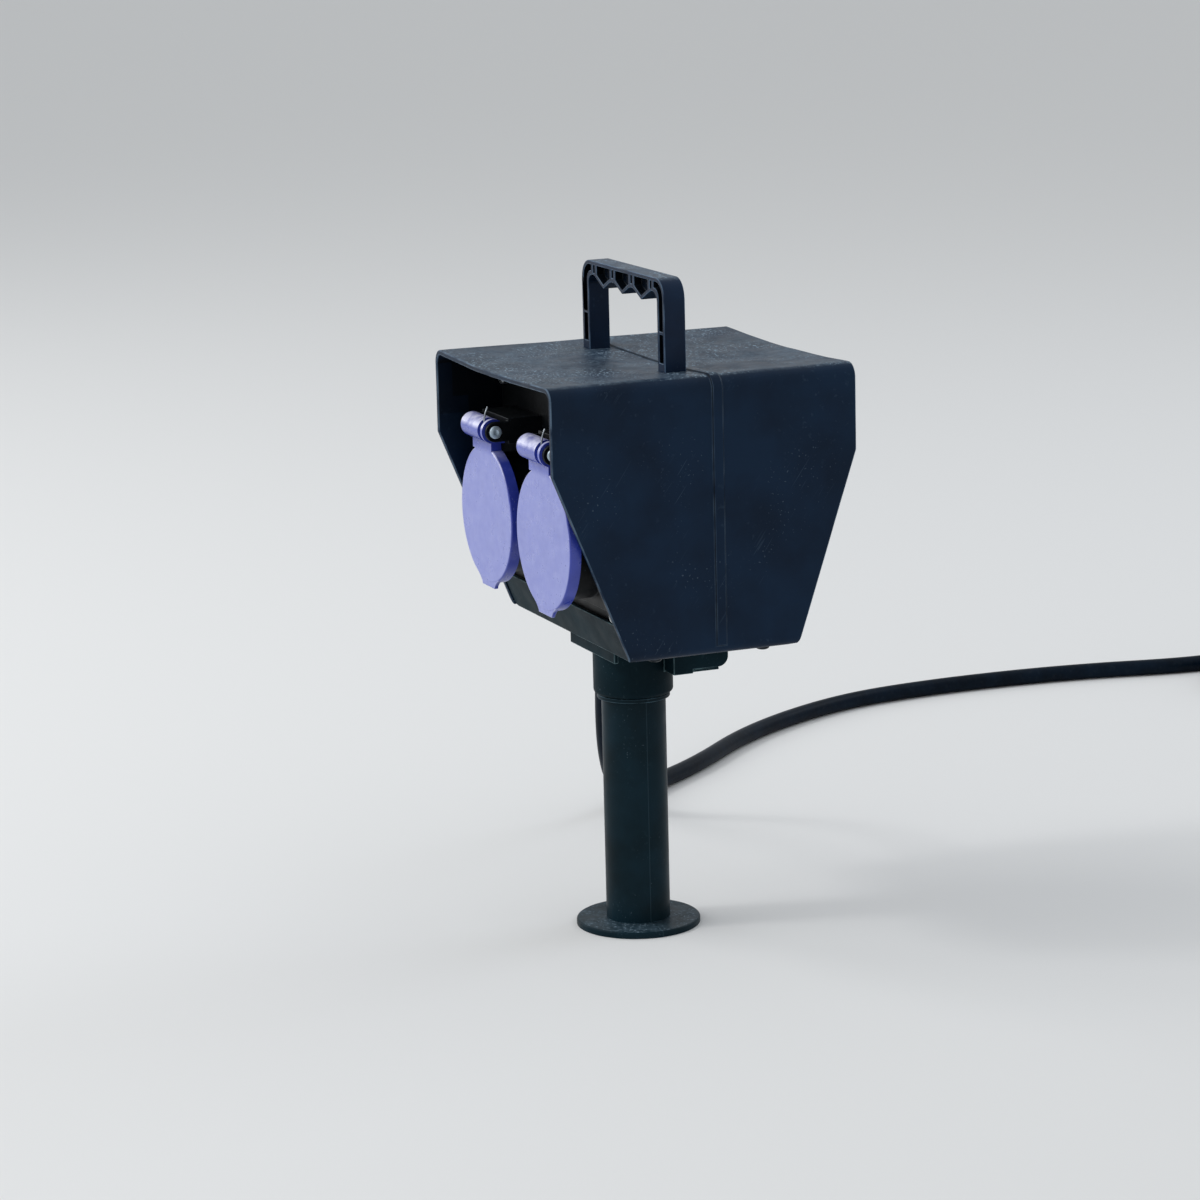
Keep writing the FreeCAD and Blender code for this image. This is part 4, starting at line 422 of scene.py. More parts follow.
# %% [markdown]
# ## Rubber
# The cable's sheath and the plug are black rubber: nearly matt, with a dusty bloom and fine
# pits. The seals are softer foam rubber. Rubber has no worn edges or scratches, so a shorter
# recipe than that of the plastic is enough.

# %% Rubber
def rubber(name, deep, pale, roughness, bloom, gloss=0.4):
    """Extruded rubber: matt, with a pale uneven bloom and fine pits."""
    material, tree, shader, spot = new_surface(name, roughness, gloss=gloss)
    dusty = overlap(tree, speckle(tree, spot, 2.2, 0.52, 0.72, 6), bloom)
    colour = layers(tree, deep, (speckle(tree, spot, 14, 0.35, 0.65), pale), (dusty, "#6c7478"))
    tree.links.new(colour, shader.inputs["Base Color"])
    raised(tree, shader, mist(tree, spot, 0.8, 2.0), 0.03)
    return material


# Chloroprene rubber of an outdoor mains cable: bluish black, matt, with a grey bloom
CABLE_RUBBER = rubber("extruded_rubber_sheath", "#030d18", "#071624", 0.38, 0.03, 0.07)
# Foam rubber of the lid seals: darker and quite matt
SEAL_RUBBER = rubber("moulded_seal_rubber", "#121417", "#1a1d20", 0.7, 0.1, 0.3)
# Solid rubber of the plug, moulded onto the cable and a little smoother than the sheath
PLUG_RUBBER = rubber("moulded_plug_rubber", "#10141a", "#181e25", 0.4, 0.12)
cable.data.materials.append(CABLE_RUBBER)

# %% [markdown]
# ## Metals
# Pins and springs are drawn steel, the screws are zinc plated or blackened, the contacts are
# brass. A single grey would look like paint. What the eye knows as worked metal is gloss that
# changes in fine clouds, so brightness and roughness follow two patterns of about a millimetre.

# %% Metals
def metal(name, dull, bright, rough_low, rough_high, stain, stain_share, metallic=1.0):
    """Worked metal: brightness and gloss change in fine clouds, with a few stains."""
    material, tree, shader, spot = new_surface(name, rough_low, metallic=metallic)
    stains = overlap(tree, speckle(tree, spot, 1.4, 0.55, 0.7, 5), stain_share)
    colour = layers(tree, dull, (speckle(tree, spot, 2.5, 0.35, 0.65), bright), (stains, stain))
    tree.links.new(colour, shader.inputs["Base Color"])
    rough = ramp(tree, speckle(tree, spot, 1.1, 0.3, 0.7), 0.0, 1.0, rough_low, rough_high)
    tree.links.new(rough, shader.inputs["Roughness"])
    raised(tree, shader, mist(tree, spot, 0.35, 2.0), 0.015, 0.5)
    return material


# Drawn steel of the hinge pins under thick zinc, half diffuse; its pale blue is partly the zinc and partly
# painted reflection of a bright sky
PIN_STEEL = metal("zinc_plated_pin", "#a9bdcc", "#d2e2ee", 0.34, 0.5, "#7d8b96", 0.25, metallic=0.45)
# Spring steel wire, a little darker and oiled
SPRING_STEEL = metal("spring_steel_wire", "#8c939a", "#bcc3c9", 0.24, 0.4, "#5d6063", 0.4)
# Zinc-plated screws: cool grey, with dull white bloom where they have weathered
ZINC = metal("zinc_plated_steel", "#8b9298", "#b2b8bb", 0.3, 0.5, "#d4d6d2", 0.45)
# Blackened steel of the screws under the tray and in the collar: dark, a little brown where it rubs
BLACKED_STEEL = metal("blackened_steel", "#23272b", "#3a3f44", 0.3, 0.45, "#5a5148", 0.3)
# Rolled brass of the contacts
BRASS = metal("rolled_brass", "#b08d4f", "#d0ad68", 0.22, 0.4, "#7d6034", 0.4)
# Nickel plate over the plug's brass pins: pale, warm and smooth
NICKEL = metal("nickel_plated_brass", "#b3aea3", "#cfcabf", 0.16, 0.3, "#8f8672", 0.3)

# %% [markdown]
# ## Wire insulation
# The wires inside are insulated in extruded PVC: brown for live, blue for neutral, green and
# yellow for earth. It is smooth and slightly glossy. The earth wire's stripes could be separate
# strips of mesh, but a wave pattern is enough for what hides inside.

# %% Wire insulation
PVC_ROUGHNESS = 0.38
STRIPE_STEP = 7.6


def insulation(name, deep, pale):
    """Extruded PVC of a wire: smooth and slightly glossy, with a faint clouding."""
    material, tree, shader, spot = new_surface(name, PVC_ROUGHNESS)
    colour = layers(tree, deep, (speckle(tree, spot, 6, 0.35, 0.65), pale))
    tree.links.new(colour, shader.inputs["Base Color"])
    return material


def earth_insulation():
    """Extruded PVC of the earth wire: green with yellow stripes."""
    material, tree, shader, spot = new_surface("pvc_green_and_yellow", PVC_ROUGHNESS)
    scale = 1 / (STRIPE_STEP * MM)
    stripes = add_node(tree, "TexWave", {"Vector": spot, "Scale": scale}, out=1, bands_direction="X")
    colour = layers(tree, "#2f7d3a", (ramp(tree, stripes, 0.45, 0.55), "#d8c22c"))
    tree.links.new(colour, shader.inputs["Base Color"])
    return material


LIVE_PVC = insulation("pvc_brown", "#4c2c1b", "#5d3822")
NEUTRAL_PVC = insulation("pvc_blue", "#1f4f8f", "#2a5fa5")
EARTH_PVC = earth_insulation()
print("materials:", len(bpy.data.materials))

# %% [markdown]
# ## Soft edges
# No moulded edge is razor sharp. A bevel node in the shader would only fake that, and its light
# is lost in an exported model. So each CAD solid that shows is copied, its loose triangles are
# merged into whole faces, and a small bevel goes round its sharp edges. The bevel's own faces are
# marked in an attribute, so that the plastic can be paler there, as wear and as painted edge
# highlight. How walled in each face is gets marked too, for painted shade in deep hollows.

# %% Helpers for pieces
NODE_BODY = {node: body for body, nodes in frame["record"]["behaviour"]["bodies"].items() for node in nodes}
MERGE_GAP = 0.004
FLAT_ANGLE = 0.6
BEVEL_STEPS = 2
HOLLOW_REACH = 150
LOOK_START = 0.05
LOOK_COUNT = 40
GOLDEN_ANGLE = math.radians(137.5)
# Directions spread evenly over a sphere, along which each face looks for walls
LOOKS = []
for i in range(LOOK_COUNT):
    rise = 1 - 2 * (i + 0.5) / LOOK_COUNT
    flat = math.sqrt(1 - rise * rise)
    LOOKS.append(Vector((flat * math.cos(i * GOLDEN_ANGLE), flat * math.sin(i * GOLDEN_ANGLE), rise)))


def select_only(piece):
    """Select one object and make it the active one."""
    if bpy.context.mode != "OBJECT":
        bpy.ops.object.mode_set(mode="OBJECT")
    bpy.ops.object.select_all(action="DESELECT")
    piece.select_set(True)
    bpy.context.view_layer.objects.active = piece


def deselect_mesh(piece):
    """Deselect all points, edges and faces of a piece that is in object mode."""
    for group in (piece.data.vertices, piece.data.edges, piece.data.polygons):
        group.foreach_set("select", [False] * len(group))


def apply_modifiers(piece):
    """Turn the piece's modifiers into mesh, in their order."""
    select_only(piece)
    for modifier in list(piece.modifiers):
        bpy.ops.object.modifier_apply(modifier=modifier.name)


def merged_copy(node, name):
    """A copy of a CAD solid as whole faces instead of loose triangles."""
    piece = new_object(name, frame["nodes"][node].data.copy())
    piece.data.materials.clear()
    select_only(piece)
    bpy.ops.object.mode_set(mode="EDIT")
    bpy.ops.mesh.select_all(action="SELECT")
    bpy.ops.mesh.remove_doubles(threshold=MERGE_GAP * MM)
    bpy.ops.mesh.dissolve_limited(angle_limit=math.radians(FLAT_ANGLE))
    bpy.ops.object.mode_set(mode="OBJECT")
    return piece


def bevel_edges(piece, width, angle=50, clamp=False):
    """Round the sharp edges, and mark the new narrow faces in the attribute edge."""
    # Two empty slots: the bevel puts its own faces into the second one
    piece.data.materials.append(None)
    piece.data.materials.append(None)
    rounding = piece.modifiers.new("rounding", "BEVEL")
    rounding.width = width * MM
    rounding.segments = BEVEL_STEPS
    rounding.limit_method = "ANGLE"
    rounding.angle_limit = math.radians(angle)
    rounding.use_clamp_overlap = clamp
    rounding.material = 1
    apply_modifiers(piece)
    marks = [1.0 if face.material_index == 1 else 0.0 for face in piece.data.polygons]
    edge = piece.data.attributes.new("edge", "FLOAT", "FACE")
    edge.data.foreach_set("value", marks)
    for face in piece.data.polygons:
        face.material_index = 0
    piece.data.materials.clear()


def mark_hollow_shade(piece):
    """Mark in the attribute hollow how much of the space in front of each face is walled in, for painted
    shade.
    """
    mesh = piece.data
    faces = [tuple(face.vertices) for face in mesh.polygons]
    walls = BVHTree.FromPolygons([vertex.co for vertex in mesh.vertices], faces)
    shares = []
    for face in mesh.polygons:
        start = face.center + face.normal * LOOK_START * MM
        seen = [way for way in LOOKS if way.dot(face.normal) > 0]
        blocked = [way for way in seen if walls.ray_cast(start, way, HOLLOW_REACH * MM)[0]]
        weight = sum(way.dot(face.normal) for way in seen)
        shares.append(sum(way.dot(face.normal) for way in blocked) / weight)
    mesh.attributes.new("hollow", "FLOAT", "FACE").data.foreach_set("value", shares)


def finish_piece(piece, material, node, smooth=40):
    """Shade a piece, give it its material, and let it stand for its CAD node on its body."""
    select_only(piece)
    bpy.ops.object.shade_smooth_by_angle(angle=math.radians(smooth))
    weights = piece.modifiers.new("even_shading", "WEIGHTED_NORMAL")
    weights.keep_sharp = True
    apply_modifiers(piece)
    piece.data.materials.clear()
    piece.data.materials.append(material)
    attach(piece, NODE_BODY[node])
    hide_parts(node)
    return piece


def softened(node, name, width, material, shade_in_hollows=False, clamp=False):
    """A CAD solid with rounded edges in its material."""
    piece = merged_copy(node, name)
    bevel_edges(piece, width, clamp=clamp)
    if shade_in_hollows:
        mark_hollow_shade(piece)
    return finish_piece(piece, material, node)


OUTLETS = [f"{end}_{side}" for end in ("front", "rear") for side in ("left", "right")]
OUTLET_SIDE = 36
OUTLET_MIDDLE = 4.5
SIDES = (-1, 1)
print("outlets:", OUTLETS)

# %% [markdown]
# ## Hood
# The real hood is one thin moulded sleeve. Its broad faces are never quite flat: the plastic
# shrinks as it cools, so the top sags and the walls wave by a few tenths of a millimetre, and
# falls have left a dent and a knock. A bump in the material would show none of that along the
# outline, so the mesh itself bends: the merged copy is cut by a grid of planes to get points on
# its broad faces, and those are moved. First the pads behind the panel screws lose the corners
# that stand out of the rounded edge.

# %% Hood
GRID_STEP = 8
HOOD_LOW = (-74.5, -68, 144)
HOOD_HIGH = (74.5, 83, 274)
# A pad's corner lies outside of these: across the hood, up, and away from the outlets' middle
PAD_SIDE = 72
PAD_HEIGHT = 271.6
PAD_AWAY = 20
LONG_EDGE = 2
# The waves of the cooled plastic: their length, and their depth on the top and on the walls
WAVE_LENGTH = 46
RIPPLE_LENGTH = 19
TOP_WAVE = 0.45
WALL_WAVE = 0.22
# The top starts at a height and the walls at a distance from the middle, each with a soft step
TOP_START = 262
TOP_STEP = 8
WALL_START = 66
WALL_STEP = 5
# A dent in the top and a knock in the right wall: place on the face, spread and depth
DENT = ((20, 52), (90, 160), 1.1)
KNOCK = ((-20, 224), (50, 60), 0.7)
# The parting ridge lies between these along the hood, and gets less of the paler edge paint, wear and painted
# highlight, than other edges
RIDGE_LOW = 6
RIDGE_HIGH = 20
RIDGE_EDGE_SHARE = 0.3


def cut_grid(piece, step, low, high):
    """Cut a piece by planes across its three directions, so that its flat faces can bend."""
    select_only(piece)
    bpy.ops.object.mode_set(mode="EDIT")
    for axis in range(3):
        normal = [0, 0, 0]
        normal[axis] = 1
        count = round((high[axis] - low[axis]) / step)
        for i in range(1, count):
            place = [0, 0, 0]
            place[axis] = (low[axis] + (high[axis] - low[axis]) * i / count) * MM
            bpy.ops.mesh.select_all(action="SELECT")
            bpy.ops.mesh.bisect(plane_co=place, plane_no=normal)
    bpy.ops.object.mode_set(mode="OBJECT")


def pressed_in(spot, place, spread, depth):
    """How far a face is pressed in: the whole depth at one place, fading around it."""
    far = (spot[0] - place[0]) ** 2 / spread[0] + (spot[1] - place[1]) ** 2 / spread[1]
    return depth * math.exp(-far)


def hood_wave(spot):
    """How far a point of the hood is moved, in millimetres, by cooling and by two old knocks."""
    x, y, z = spot
    wave = noise.noise(Vector((x * 0.9, y * 1.3, z * 1.1)) / WAVE_LENGTH)
    wave += 0.5 * noise.noise(Vector((x, y, z)) / RIPPLE_LENGTH)
    top_share = eased((z - TOP_START) / TOP_STEP)
    wall_share = eased((abs(x) - WALL_START) / WALL_STEP) * (1 - top_share)
    dent = pressed_in((x, y), *DENT)
    knock = pressed_in((y, z), *KNOCK) if x > 0 else 0
    sideways = math.copysign(1, x) * wall_share * (WALL_WAVE * wave - knock)
    return Vector((sideways, 0, top_share * (TOP_WAVE * wave - dent)))


def trim_pad(piece, side, end):
    """Take off a pad's corner and close the gap along the rounded edge."""
    select_only(piece)
    deselect_mesh(piece)
    for vertex in piece.data.vertices:
        x, y, z = vertex.co / MM
        away = end * (y - OUTLET_MIDDLE)
        vertex.select = side * x > PAD_SIDE and z > PAD_HEIGHT and away > PAD_AWAY
    bpy.ops.object.mode_set(mode="EDIT")
    bpy.ops.mesh.select_mode(type="VERT")
    bpy.ops.mesh.delete(type="VERT")
    bpy.ops.mesh.select_mode(type="EDGE")
    bpy.ops.mesh.select_non_manifold()
    bpy.ops.object.mode_set(mode="OBJECT")
    corners = [vertex.co for vertex in piece.data.vertices]
    for edge in piece.data.edges:
        run = corners[edge.vertices[0]] - corners[edge.vertices[1]]
        if edge.select and run.length > LONG_EDGE * MM:
            edge.select = False
    bpy.ops.object.mode_set(mode="EDIT")
    bpy.ops.mesh.bridge_edge_loops()
    bpy.ops.object.mode_set(mode="OBJECT")


hood = merged_copy("hood_shell", "hood")
for side in SIDES:
    for end in SIDES:
        trim_pad(hood, side, end)
bevel_edges(hood, 0.55, angle=45)
cut_grid(hood, GRID_STEP, HOOD_LOW, HOOD_HIGH)
mark_hollow_shade(hood)
for vertex in hood.data.vertices:
    vertex.co += hood_wave(vertex.co / MM) * MM
edge_marks = hood.data.attributes["edge"].data
for face in hood.data.polygons:
    if RIDGE_LOW < face.center.y / MM < RIDGE_HIGH:
        edge_marks[face.index].value *= RIDGE_EDGE_SHARE
finish_piece(hood, HOOD_PLASTIC, "hood_shell")
print("hood faces:", len(hood.data.polygons))

# %% [markdown]
# ## Handle, tray, panels and post
# These are moulded too. They could be modelled anew, but their shapes are right in the CAD
# model, so each one only needs its softened edges and its plastic. The spike's edges taper to
# its tip, where the bevel has to narrow with them.

# %% Moulded pieces
softened("carry_handle", "handle", 0.35, HANDLE_PLASTIC, shade_in_hollows=True)
softened("base_tray", "tray", 0.45, TRAY_PLASTIC)
softened("terminal_cover", "box_cover", 0.3, TRAY_PLASTIC)
softened("front_panel", "panel_in_front", 0.4, OUTLET_PLASTIC)
softened("rear_panel", "panel_behind", 0.4, OUTLET_PLASTIC)
softened("post_tube", "post", 0.4, POST_PLASTIC)
softened("ground_spike", "spike", 0.4, POST_PLASTIC, clamp=True)
softened("cable_gland", "gland", 0.5, TRAY_PLASTIC)
softened("gland_nut", "nut", 0.5, TRAY_PLASTIC)
softened("strain_relief", "relief", 0.4, PLUG_RUBBER)
for outlet in OUTLETS:
    softened(f"{outlet}_housing", f"{outlet}_frame", 0.35, OUTLET_PLASTIC)
    softened(f"{outlet}_insert", f"{outlet}_socket", 0.3, OUTLET_PLASTIC)
    softened(f"{outlet}_seal", f"{outlet}_gasket", 0.2, SEAL_RUBBER)
print("softened pieces:", sum(1 for o in bpy.data.objects if "edge" in getattr(o.data, "attributes", {})))

# %% [markdown]
# ## Lids
# Each lid hangs from its barrel and ends in a finger tab with hollow sides, wide enough for two
# fingertips. The tab could be an outline that is extruded, but a cube cut into rows needs no
# drawing: each row is narrowed a little more, as pushing and pulling by hand would do. The
# result becomes part of the lid's own mesh.

# %% Lids
LID_FACE = 58.1
TAB_STEP = 0.15
TAB_WALL = 2.0
TAB_TOP = 168.2
TAB_LOW = 163.2
TAB_RISE = TAB_TOP - TAB_LOW
TAB_ROWS = 6
TAB_HALF_LOW = 7.8
TAB_HALF_TOP = 13.4
TAB_HOLLOW = 1.7


def finger_tab(side, front_way, front):
    """A plate with hollow sides under a lid."""
    bpy.ops.object.select_all(action="DESELECT")
    middle = Vector((side, front - front_way * TAB_WALL / 2, (TAB_TOP + TAB_LOW) / 2))
    bpy.ops.mesh.primitive_cube_add(size=1, location=middle * MM)
    tab = bpy.context.object
    tab.scale = (2 * TAB_HALF_LOW * MM, TAB_WALL * MM, TAB_RISE * MM)
    bpy.ops.object.transform_apply(location=True, rotation=True, scale=True)
    bpy.ops.object.mode_set(mode="EDIT")
    for i in range(1, TAB_ROWS):
        bpy.ops.mesh.select_all(action="SELECT")
        height = TAB_LOW + TAB_RISE * i / TAB_ROWS
        bpy.ops.mesh.bisect(plane_co=(0, 0, height * MM), plane_no=(0, 0, 1))
    bpy.ops.object.mode_set(mode="OBJECT")
    for vertex in tab.data.vertices:
        share = max((vertex.co.z / MM - TAB_LOW) / TAB_RISE, 0)
        half = TAB_HALF_LOW + (TAB_HALF_TOP - TAB_HALF_LOW) * share ** TAB_HOLLOW
        vertex.co.x = (side + (vertex.co.x / MM - side) / TAB_HALF_LOW * half) * MM
    return tab


for outlet in OUTLETS:
    end, hand = outlet.split("_")
    side = -OUTLET_SIDE if hand == "left" else OUTLET_SIDE
    front_way = -1 if end == "front" else 1
    front = TAB_STEP - LID_FACE if end == "front" else 2 * OUTLET_MIDDLE + LID_FACE - TAB_STEP
    lid = merged_copy(f"{outlet}_lid", f"{outlet}_cover")
    tab = finger_tab(side, front_way, front)
    bevel_edges(tab, 0.35)
    bevel_edges(lid, 0.25, clamp=True)
    select_only(lid)
    tab.select_set(True)
    bpy.ops.object.join()
    finish_piece(lid, LID_PLASTIC, f"{outlet}_lid")
print("lid triangles:", sum(len(face.vertices) - 2 for face in lid.data.polygons))

# %% [markdown]
# ## Turned ends
# Pins, screws and the plug are round, and their ends step in and out. Half an outline could be
# spun round an axis, but then the points in the middle have to be closed. By hand it is a chain
# of extrude and scale: the end face is drawn out a little, widened or narrowed, and again. Here
# the chain is a list of steps, each a distance along the piece and the new radius, in millimetres.

# %% Helpers for round pieces
def round_start(name, spot, direction, length, radius, sides=32):
    """A plain round bar from a spot along a direction, to be shaped further."""
    bpy.ops.object.select_all(action="DESELECT")
    middle = Vector(spot) + Vector(direction) * length / 2
    bpy.ops.mesh.primitive_cylinder_add(
        vertices=sides, radius=radius * MM, depth=length * MM, location=middle * MM,
        rotation=Vector(direction).to_track_quat("Z", "Y").to_euler())
    bpy.ops.object.transform_apply(location=True, rotation=True, scale=True)
    bpy.context.object.name = name
    return bpy.context.object


def pick_end(piece, direction):
    """Select the flat end face of a piece that looks in a direction."""
    select_only(piece)
    way = Vector(direction)
    best = max(piece.data.polygons, key=lambda face: face.normal.dot(way) + face.center.dot(way))
    deselect_mesh(piece)
    best.select = True
    bpy.ops.object.mode_set(mode="EDIT")
    bpy.ops.mesh.select_mode(type="FACE")
    return best.center.copy()


def turn_end(piece, direction, radius, steps_out):
    """Draw the end face out along a direction, step by step, each with its new radius."""
    centre = pick_end(piece, direction)
    way = Vector(direction)
    for advance, new_radius in steps_out:
        bpy.ops.mesh.extrude_region_move(TRANSFORM_OT_translate={"value": way * advance * MM})
        centre += way * advance * MM
        ratio = new_radius / radius
        bpy.ops.transform.resize(value=(ratio, ratio, ratio), center_override=centre)
        radius = new_radius
    bpy.ops.object.mode_set(mode="OBJECT")


def placed(piece, name, turn):
    """A copy of a piece with its own mesh, moved by a matrix to its place."""
    twin = new_object(name, piece.data.copy())
    twin.data.transform(turn)
    return twin


def joined(pieces, name):
    """Several pieces as one object."""
    select_only(pieces[0])
    for piece in pieces[1:]:
        piece.select_set(True)
    if len(pieces) > 1:
        bpy.ops.object.join()
    bpy.context.object.name = name
    return bpy.context.object

# %% [markdown]
# ## Hinge pins
# Each lid turns on a steel pin with a domed head that has a small dimple, left by the riveting
# tool. The head of the front pins is bright in the photograph. One pin is drawn out of a bar and
# copied to the other outlets: the front ones lie side by side, the rear ones half a turn round.

# %% Hinge pins
HINGE_ALONG = -58.5
HINGE_UP = 239.5
PIN_START = -17.2
PIN_SHANK = 33.9
PIN_RADIUS = 2.0
RIGHT = (1, 0, 0)
LEFT = (-1, 0, 0)
to_left = Matrix.Translation((-OUTLET_SIDE * MM, 0, 0))
to_right = Matrix.Translation((OUTLET_SIDE * MM, 0, 0))
half_turn = (Matrix.Translation((0, OUTLET_MIDDLE * MM, 0)) @ Matrix.Rotation(math.pi, 4, "Z")
             @ Matrix.Translation((0, -OUTLET_MIDDLE * MM, 0)))
PLACES = {
    "front_left": to_left,
    "front_right": to_right,
    "rear_left": half_turn @ to_right,
    "rear_right": half_turn @ to_left,
}
pin = round_start("pin_pattern", (PIN_START, HINGE_ALONG, HINGE_UP), RIGHT, PIN_SHANK, PIN_RADIUS)
turn_end(pin, RIGHT, PIN_RADIUS, [
    (0, 3.0), (0.55, 3.0), (0.3, 2.8), (0.2, 2.4), (0.1, 1.9), (0.03, 1.3), (-0.35, 0.9), (-0.1, 0.3),
])
turn_end(pin, LEFT, PIN_RADIUS, [(0, 2.6), (0.4, 2.6), (0.25, 2.3), (0.12, 1.6), (0.03, 0.6)])
for outlet, place in PLACES.items():
    finish_piece(placed(pin, f"{outlet}_pin", place), PIN_STEEL, f"{outlet}_hinge_pin", 35)
print("pin length in mm:", round(pin.dimensions.x / MM, 1))
bpy.data.objects.remove(pin)

# %% [markdown]
# ## Lid springs
# A torsion spring of 0.8 mm wire sits on each pin: one leg lies on the hinge block, the other
# stands up in front, and it is the thin bright end that shows above each barrel. A Screw modifier
# could wind a circle, but it makes no legs. A curve with a round section draws windings and legs
# in one line and is then turned into a mesh.

# %% Lid springs
SPRING_RADIUS = 3.1
SPRING_START = 9.1
SPRING_RUN = 1.5625
SPRING_TURNS = 1.25
WIRE_RADIUS = 0.4
WIRE_STEPS = 60
# The legs' points: how far each lies behind the pin, and for the front leg also its height over it
BACK_LEG = (6.1, 3.0)
FRONT_LEG = ((-3.1, 3), (-3.0, 6), (-2.4, 8.5), (-1.2, 11.3))
wire_line = [(SPRING_START, behind, -SPRING_RADIUS) for behind in BACK_LEG]
for i in range(WIRE_STEPS + 1):
    share = i / WIRE_STEPS
    angle = -math.pi / 2 - 2 * math.pi * SPRING_TURNS * share
    behind = SPRING_RADIUS * math.cos(angle)
    above = SPRING_RADIUS * math.sin(angle)
    wire_line.append((SPRING_START + SPRING_RUN * share, behind, above))
wire_line += [(SPRING_START + SPRING_RUN, behind, above) for behind, above in FRONT_LEG]
wire_curve = bpy.data.curves.new("spring_wire", "CURVE")
wire_curve.dimensions = "3D"
wire = wire_curve.splines.new("POLY")
wire.points.add(len(wire_line) - 1)
for point, (x, y, z) in zip(wire.points, wire_line):
    point.co = (x * MM, (HINGE_ALONG + y) * MM, (HINGE_UP + z) * MM, 1)
wire_curve.bevel_depth = WIRE_RADIUS * MM
wire_curve.bevel_resolution = 3
wire_curve.use_fill_caps = True
spring = new_object("spring_pattern", wire_curve)
select_only(spring)
bpy.ops.object.convert(target="MESH")
spring = bpy.context.object
for outlet, place in PLACES.items():
    finish_piece(placed(spring, f"{outlet}_torsion_spring", place), SPRING_STEEL, f"{outlet}_spring", 60)
bpy.data.objects.remove(spring)
print("spring wire points:", len(wire_line))

# %% [markdown]
# ## Screws
# The screws have a domed head with a cross recess. Most are zinc plated, those under the tray
# and in the collar are blackened. The head is drawn out of the shank like the pins. The recess
# could be drawn face by face into the dome, but a cutter of two tapered blades, taken off by a
# Boolean modifier, is as clean and fits every size of head.

# %% One screw
UP = (0, 0, 1)
DOWN = (0, 0, -1)
# The cutter's reach and depth as shares of the head, its blades' thickness and their taper
RECESS_REACH = 0.55
RECESS_REACH_MOST = 1.9
RECESS_DEPTH = 0.62
BLADE_WALL = 0.16
BLADE_TAPER = 0.45
RIM_ROUND = 0.1


def cross_cutter(reach, depth, top):
    """Two crossed blades that narrow towards their lower edge."""
    blades = []
    for quarter in range(2):
        bpy.ops.object.select_all(action="DESELECT")
        bpy.ops.mesh.primitive_cube_add(size=2 * MM, location=(0, 0, top * MM))
        blade = bpy.context.object
        bpy.ops.transform.resize(value=(reach, BLADE_WALL * reach, depth))
        bpy.ops.transform.rotate(value=quarter * math.pi / 2, orient_axis="Z", center_override=(0, 0, 0))
        bpy.ops.object.transform_apply(location=True, rotation=True, scale=True)
        pick_end(blade, DOWN)
        low_end = (0, 0, (top - depth) * MM)
        bpy.ops.transform.resize(value=(BLADE_TAPER, BLADE_TAPER, 1), center_override=low_end)
        bpy.ops.object.mode_set(mode="OBJECT")
        blades.append(blade)
    return blades


def cross_screw(name, head_radius, head, shank_radius, length):
    """A cross-recessed screw that points down, the underside of its head at the origin."""
    screw = round_start(name, (0, 0, 0), DOWN, length - shank_radius, shank_radius, sides=20)
    turn_end(screw, DOWN, shank_radius, [
        (0.6 * shank_radius, 0.7 * shank_radius), (0.4 * shank_radius, 0.2 * shank_radius),
    ])
    turn_end(screw, UP, shank_radius, [
        (0, head_radius - RIM_ROUND), (RIM_ROUND, head_radius), (0.4 * head, head_radius),
        (0.3 * head, 0.9 * head_radius), (0.2 * head, 0.66 * head_radius),
        (0.1 * head - RIM_ROUND, 0.3 * head_radius),
    ])
    reach = min(RECESS_REACH * head_radius, RECESS_REACH_MOST)
    for blade in cross_cutter(reach, RECESS_DEPTH * head, head):
        cut = screw.modifiers.new("cross", "BOOLEAN")
        cut.object = blade
        cut.solver = "EXACT"
        apply_modifiers(screw)
        bpy.data.objects.remove(blade)
    return screw

# %% [markdown]
# One screw of each size is made and set in all its places, turned to point into its piece. Linked
# copies would save memory, but they can't be joined, and the screws of one CAD node become one piece.

# %% Screws in their places
# Radius and height of the head, then radius and length of the shank, in millimetres
SCREW_SIZES = {
    "panel": (3.8, 3.0, 1.2, 8.0),
    "socket": (2.6, 1.6, 1.2, 5.3),
    "tray": (3.2, 1.8, 1.4, 10.0),
    "cover": (2.4, 1.4, 1.2, 8.0),
    "handle": (6.5, 1.6, 1.5, 5.0),
    "collar": (3.5, 2.2, 1.7, 6.4),
}
# How far the panels and the outlets' flanges lie from the outlets' middle
PANEL_FACE = 39.6
FLANGE_FACE = 42.6
PANEL_SCREW_SIDE = 66
PANEL_SCREW_HEIGHTS = (166, 258)
OUTLET_HEIGHT = 198
SOCKET_SCREW_SIDE = 25.5
SOCKET_SCREW_UP = 26.5
TRAY_SCREW_SIDE = 65.5
TRAY_SCREW_ROWS = (-16.7, 37.3)
TRAY_FLOOR = 144.6
COVER_SCREW_SIDE = 15
COVER_SCREW_SPOT = (23, 126)
HANDLE_SCREW_SIDE = 44.5
HANDLE_SCREW_SPOT = (4, 269)
COLLAR_SCREW_SPOT = (-18.9, 0, 122)
POINT_UP = Matrix.Rotation(math.pi, 4, "X")
POINT_BACK = Matrix.Rotation(math.radians(90), 4, "X")
POINT_FRONT = Matrix.Rotation(math.radians(-90), 4, "X")
POINT_RIGHT = Matrix.Rotation(math.radians(-90), 4, "Y")
# Which way each pair of outlets looks along Y, and how the screws in its face are turned
ENDS = {"front": (-1, POINT_BACK), "rear": (1, POINT_FRONT)}


def set_screws(kind, spots, turn):
    """Copies of a kind of screw at all its places."""
    return [placed(patterns[kind], "screw", Matrix.Translation(Vector(spot) * MM) @ turn) for spot in spots]


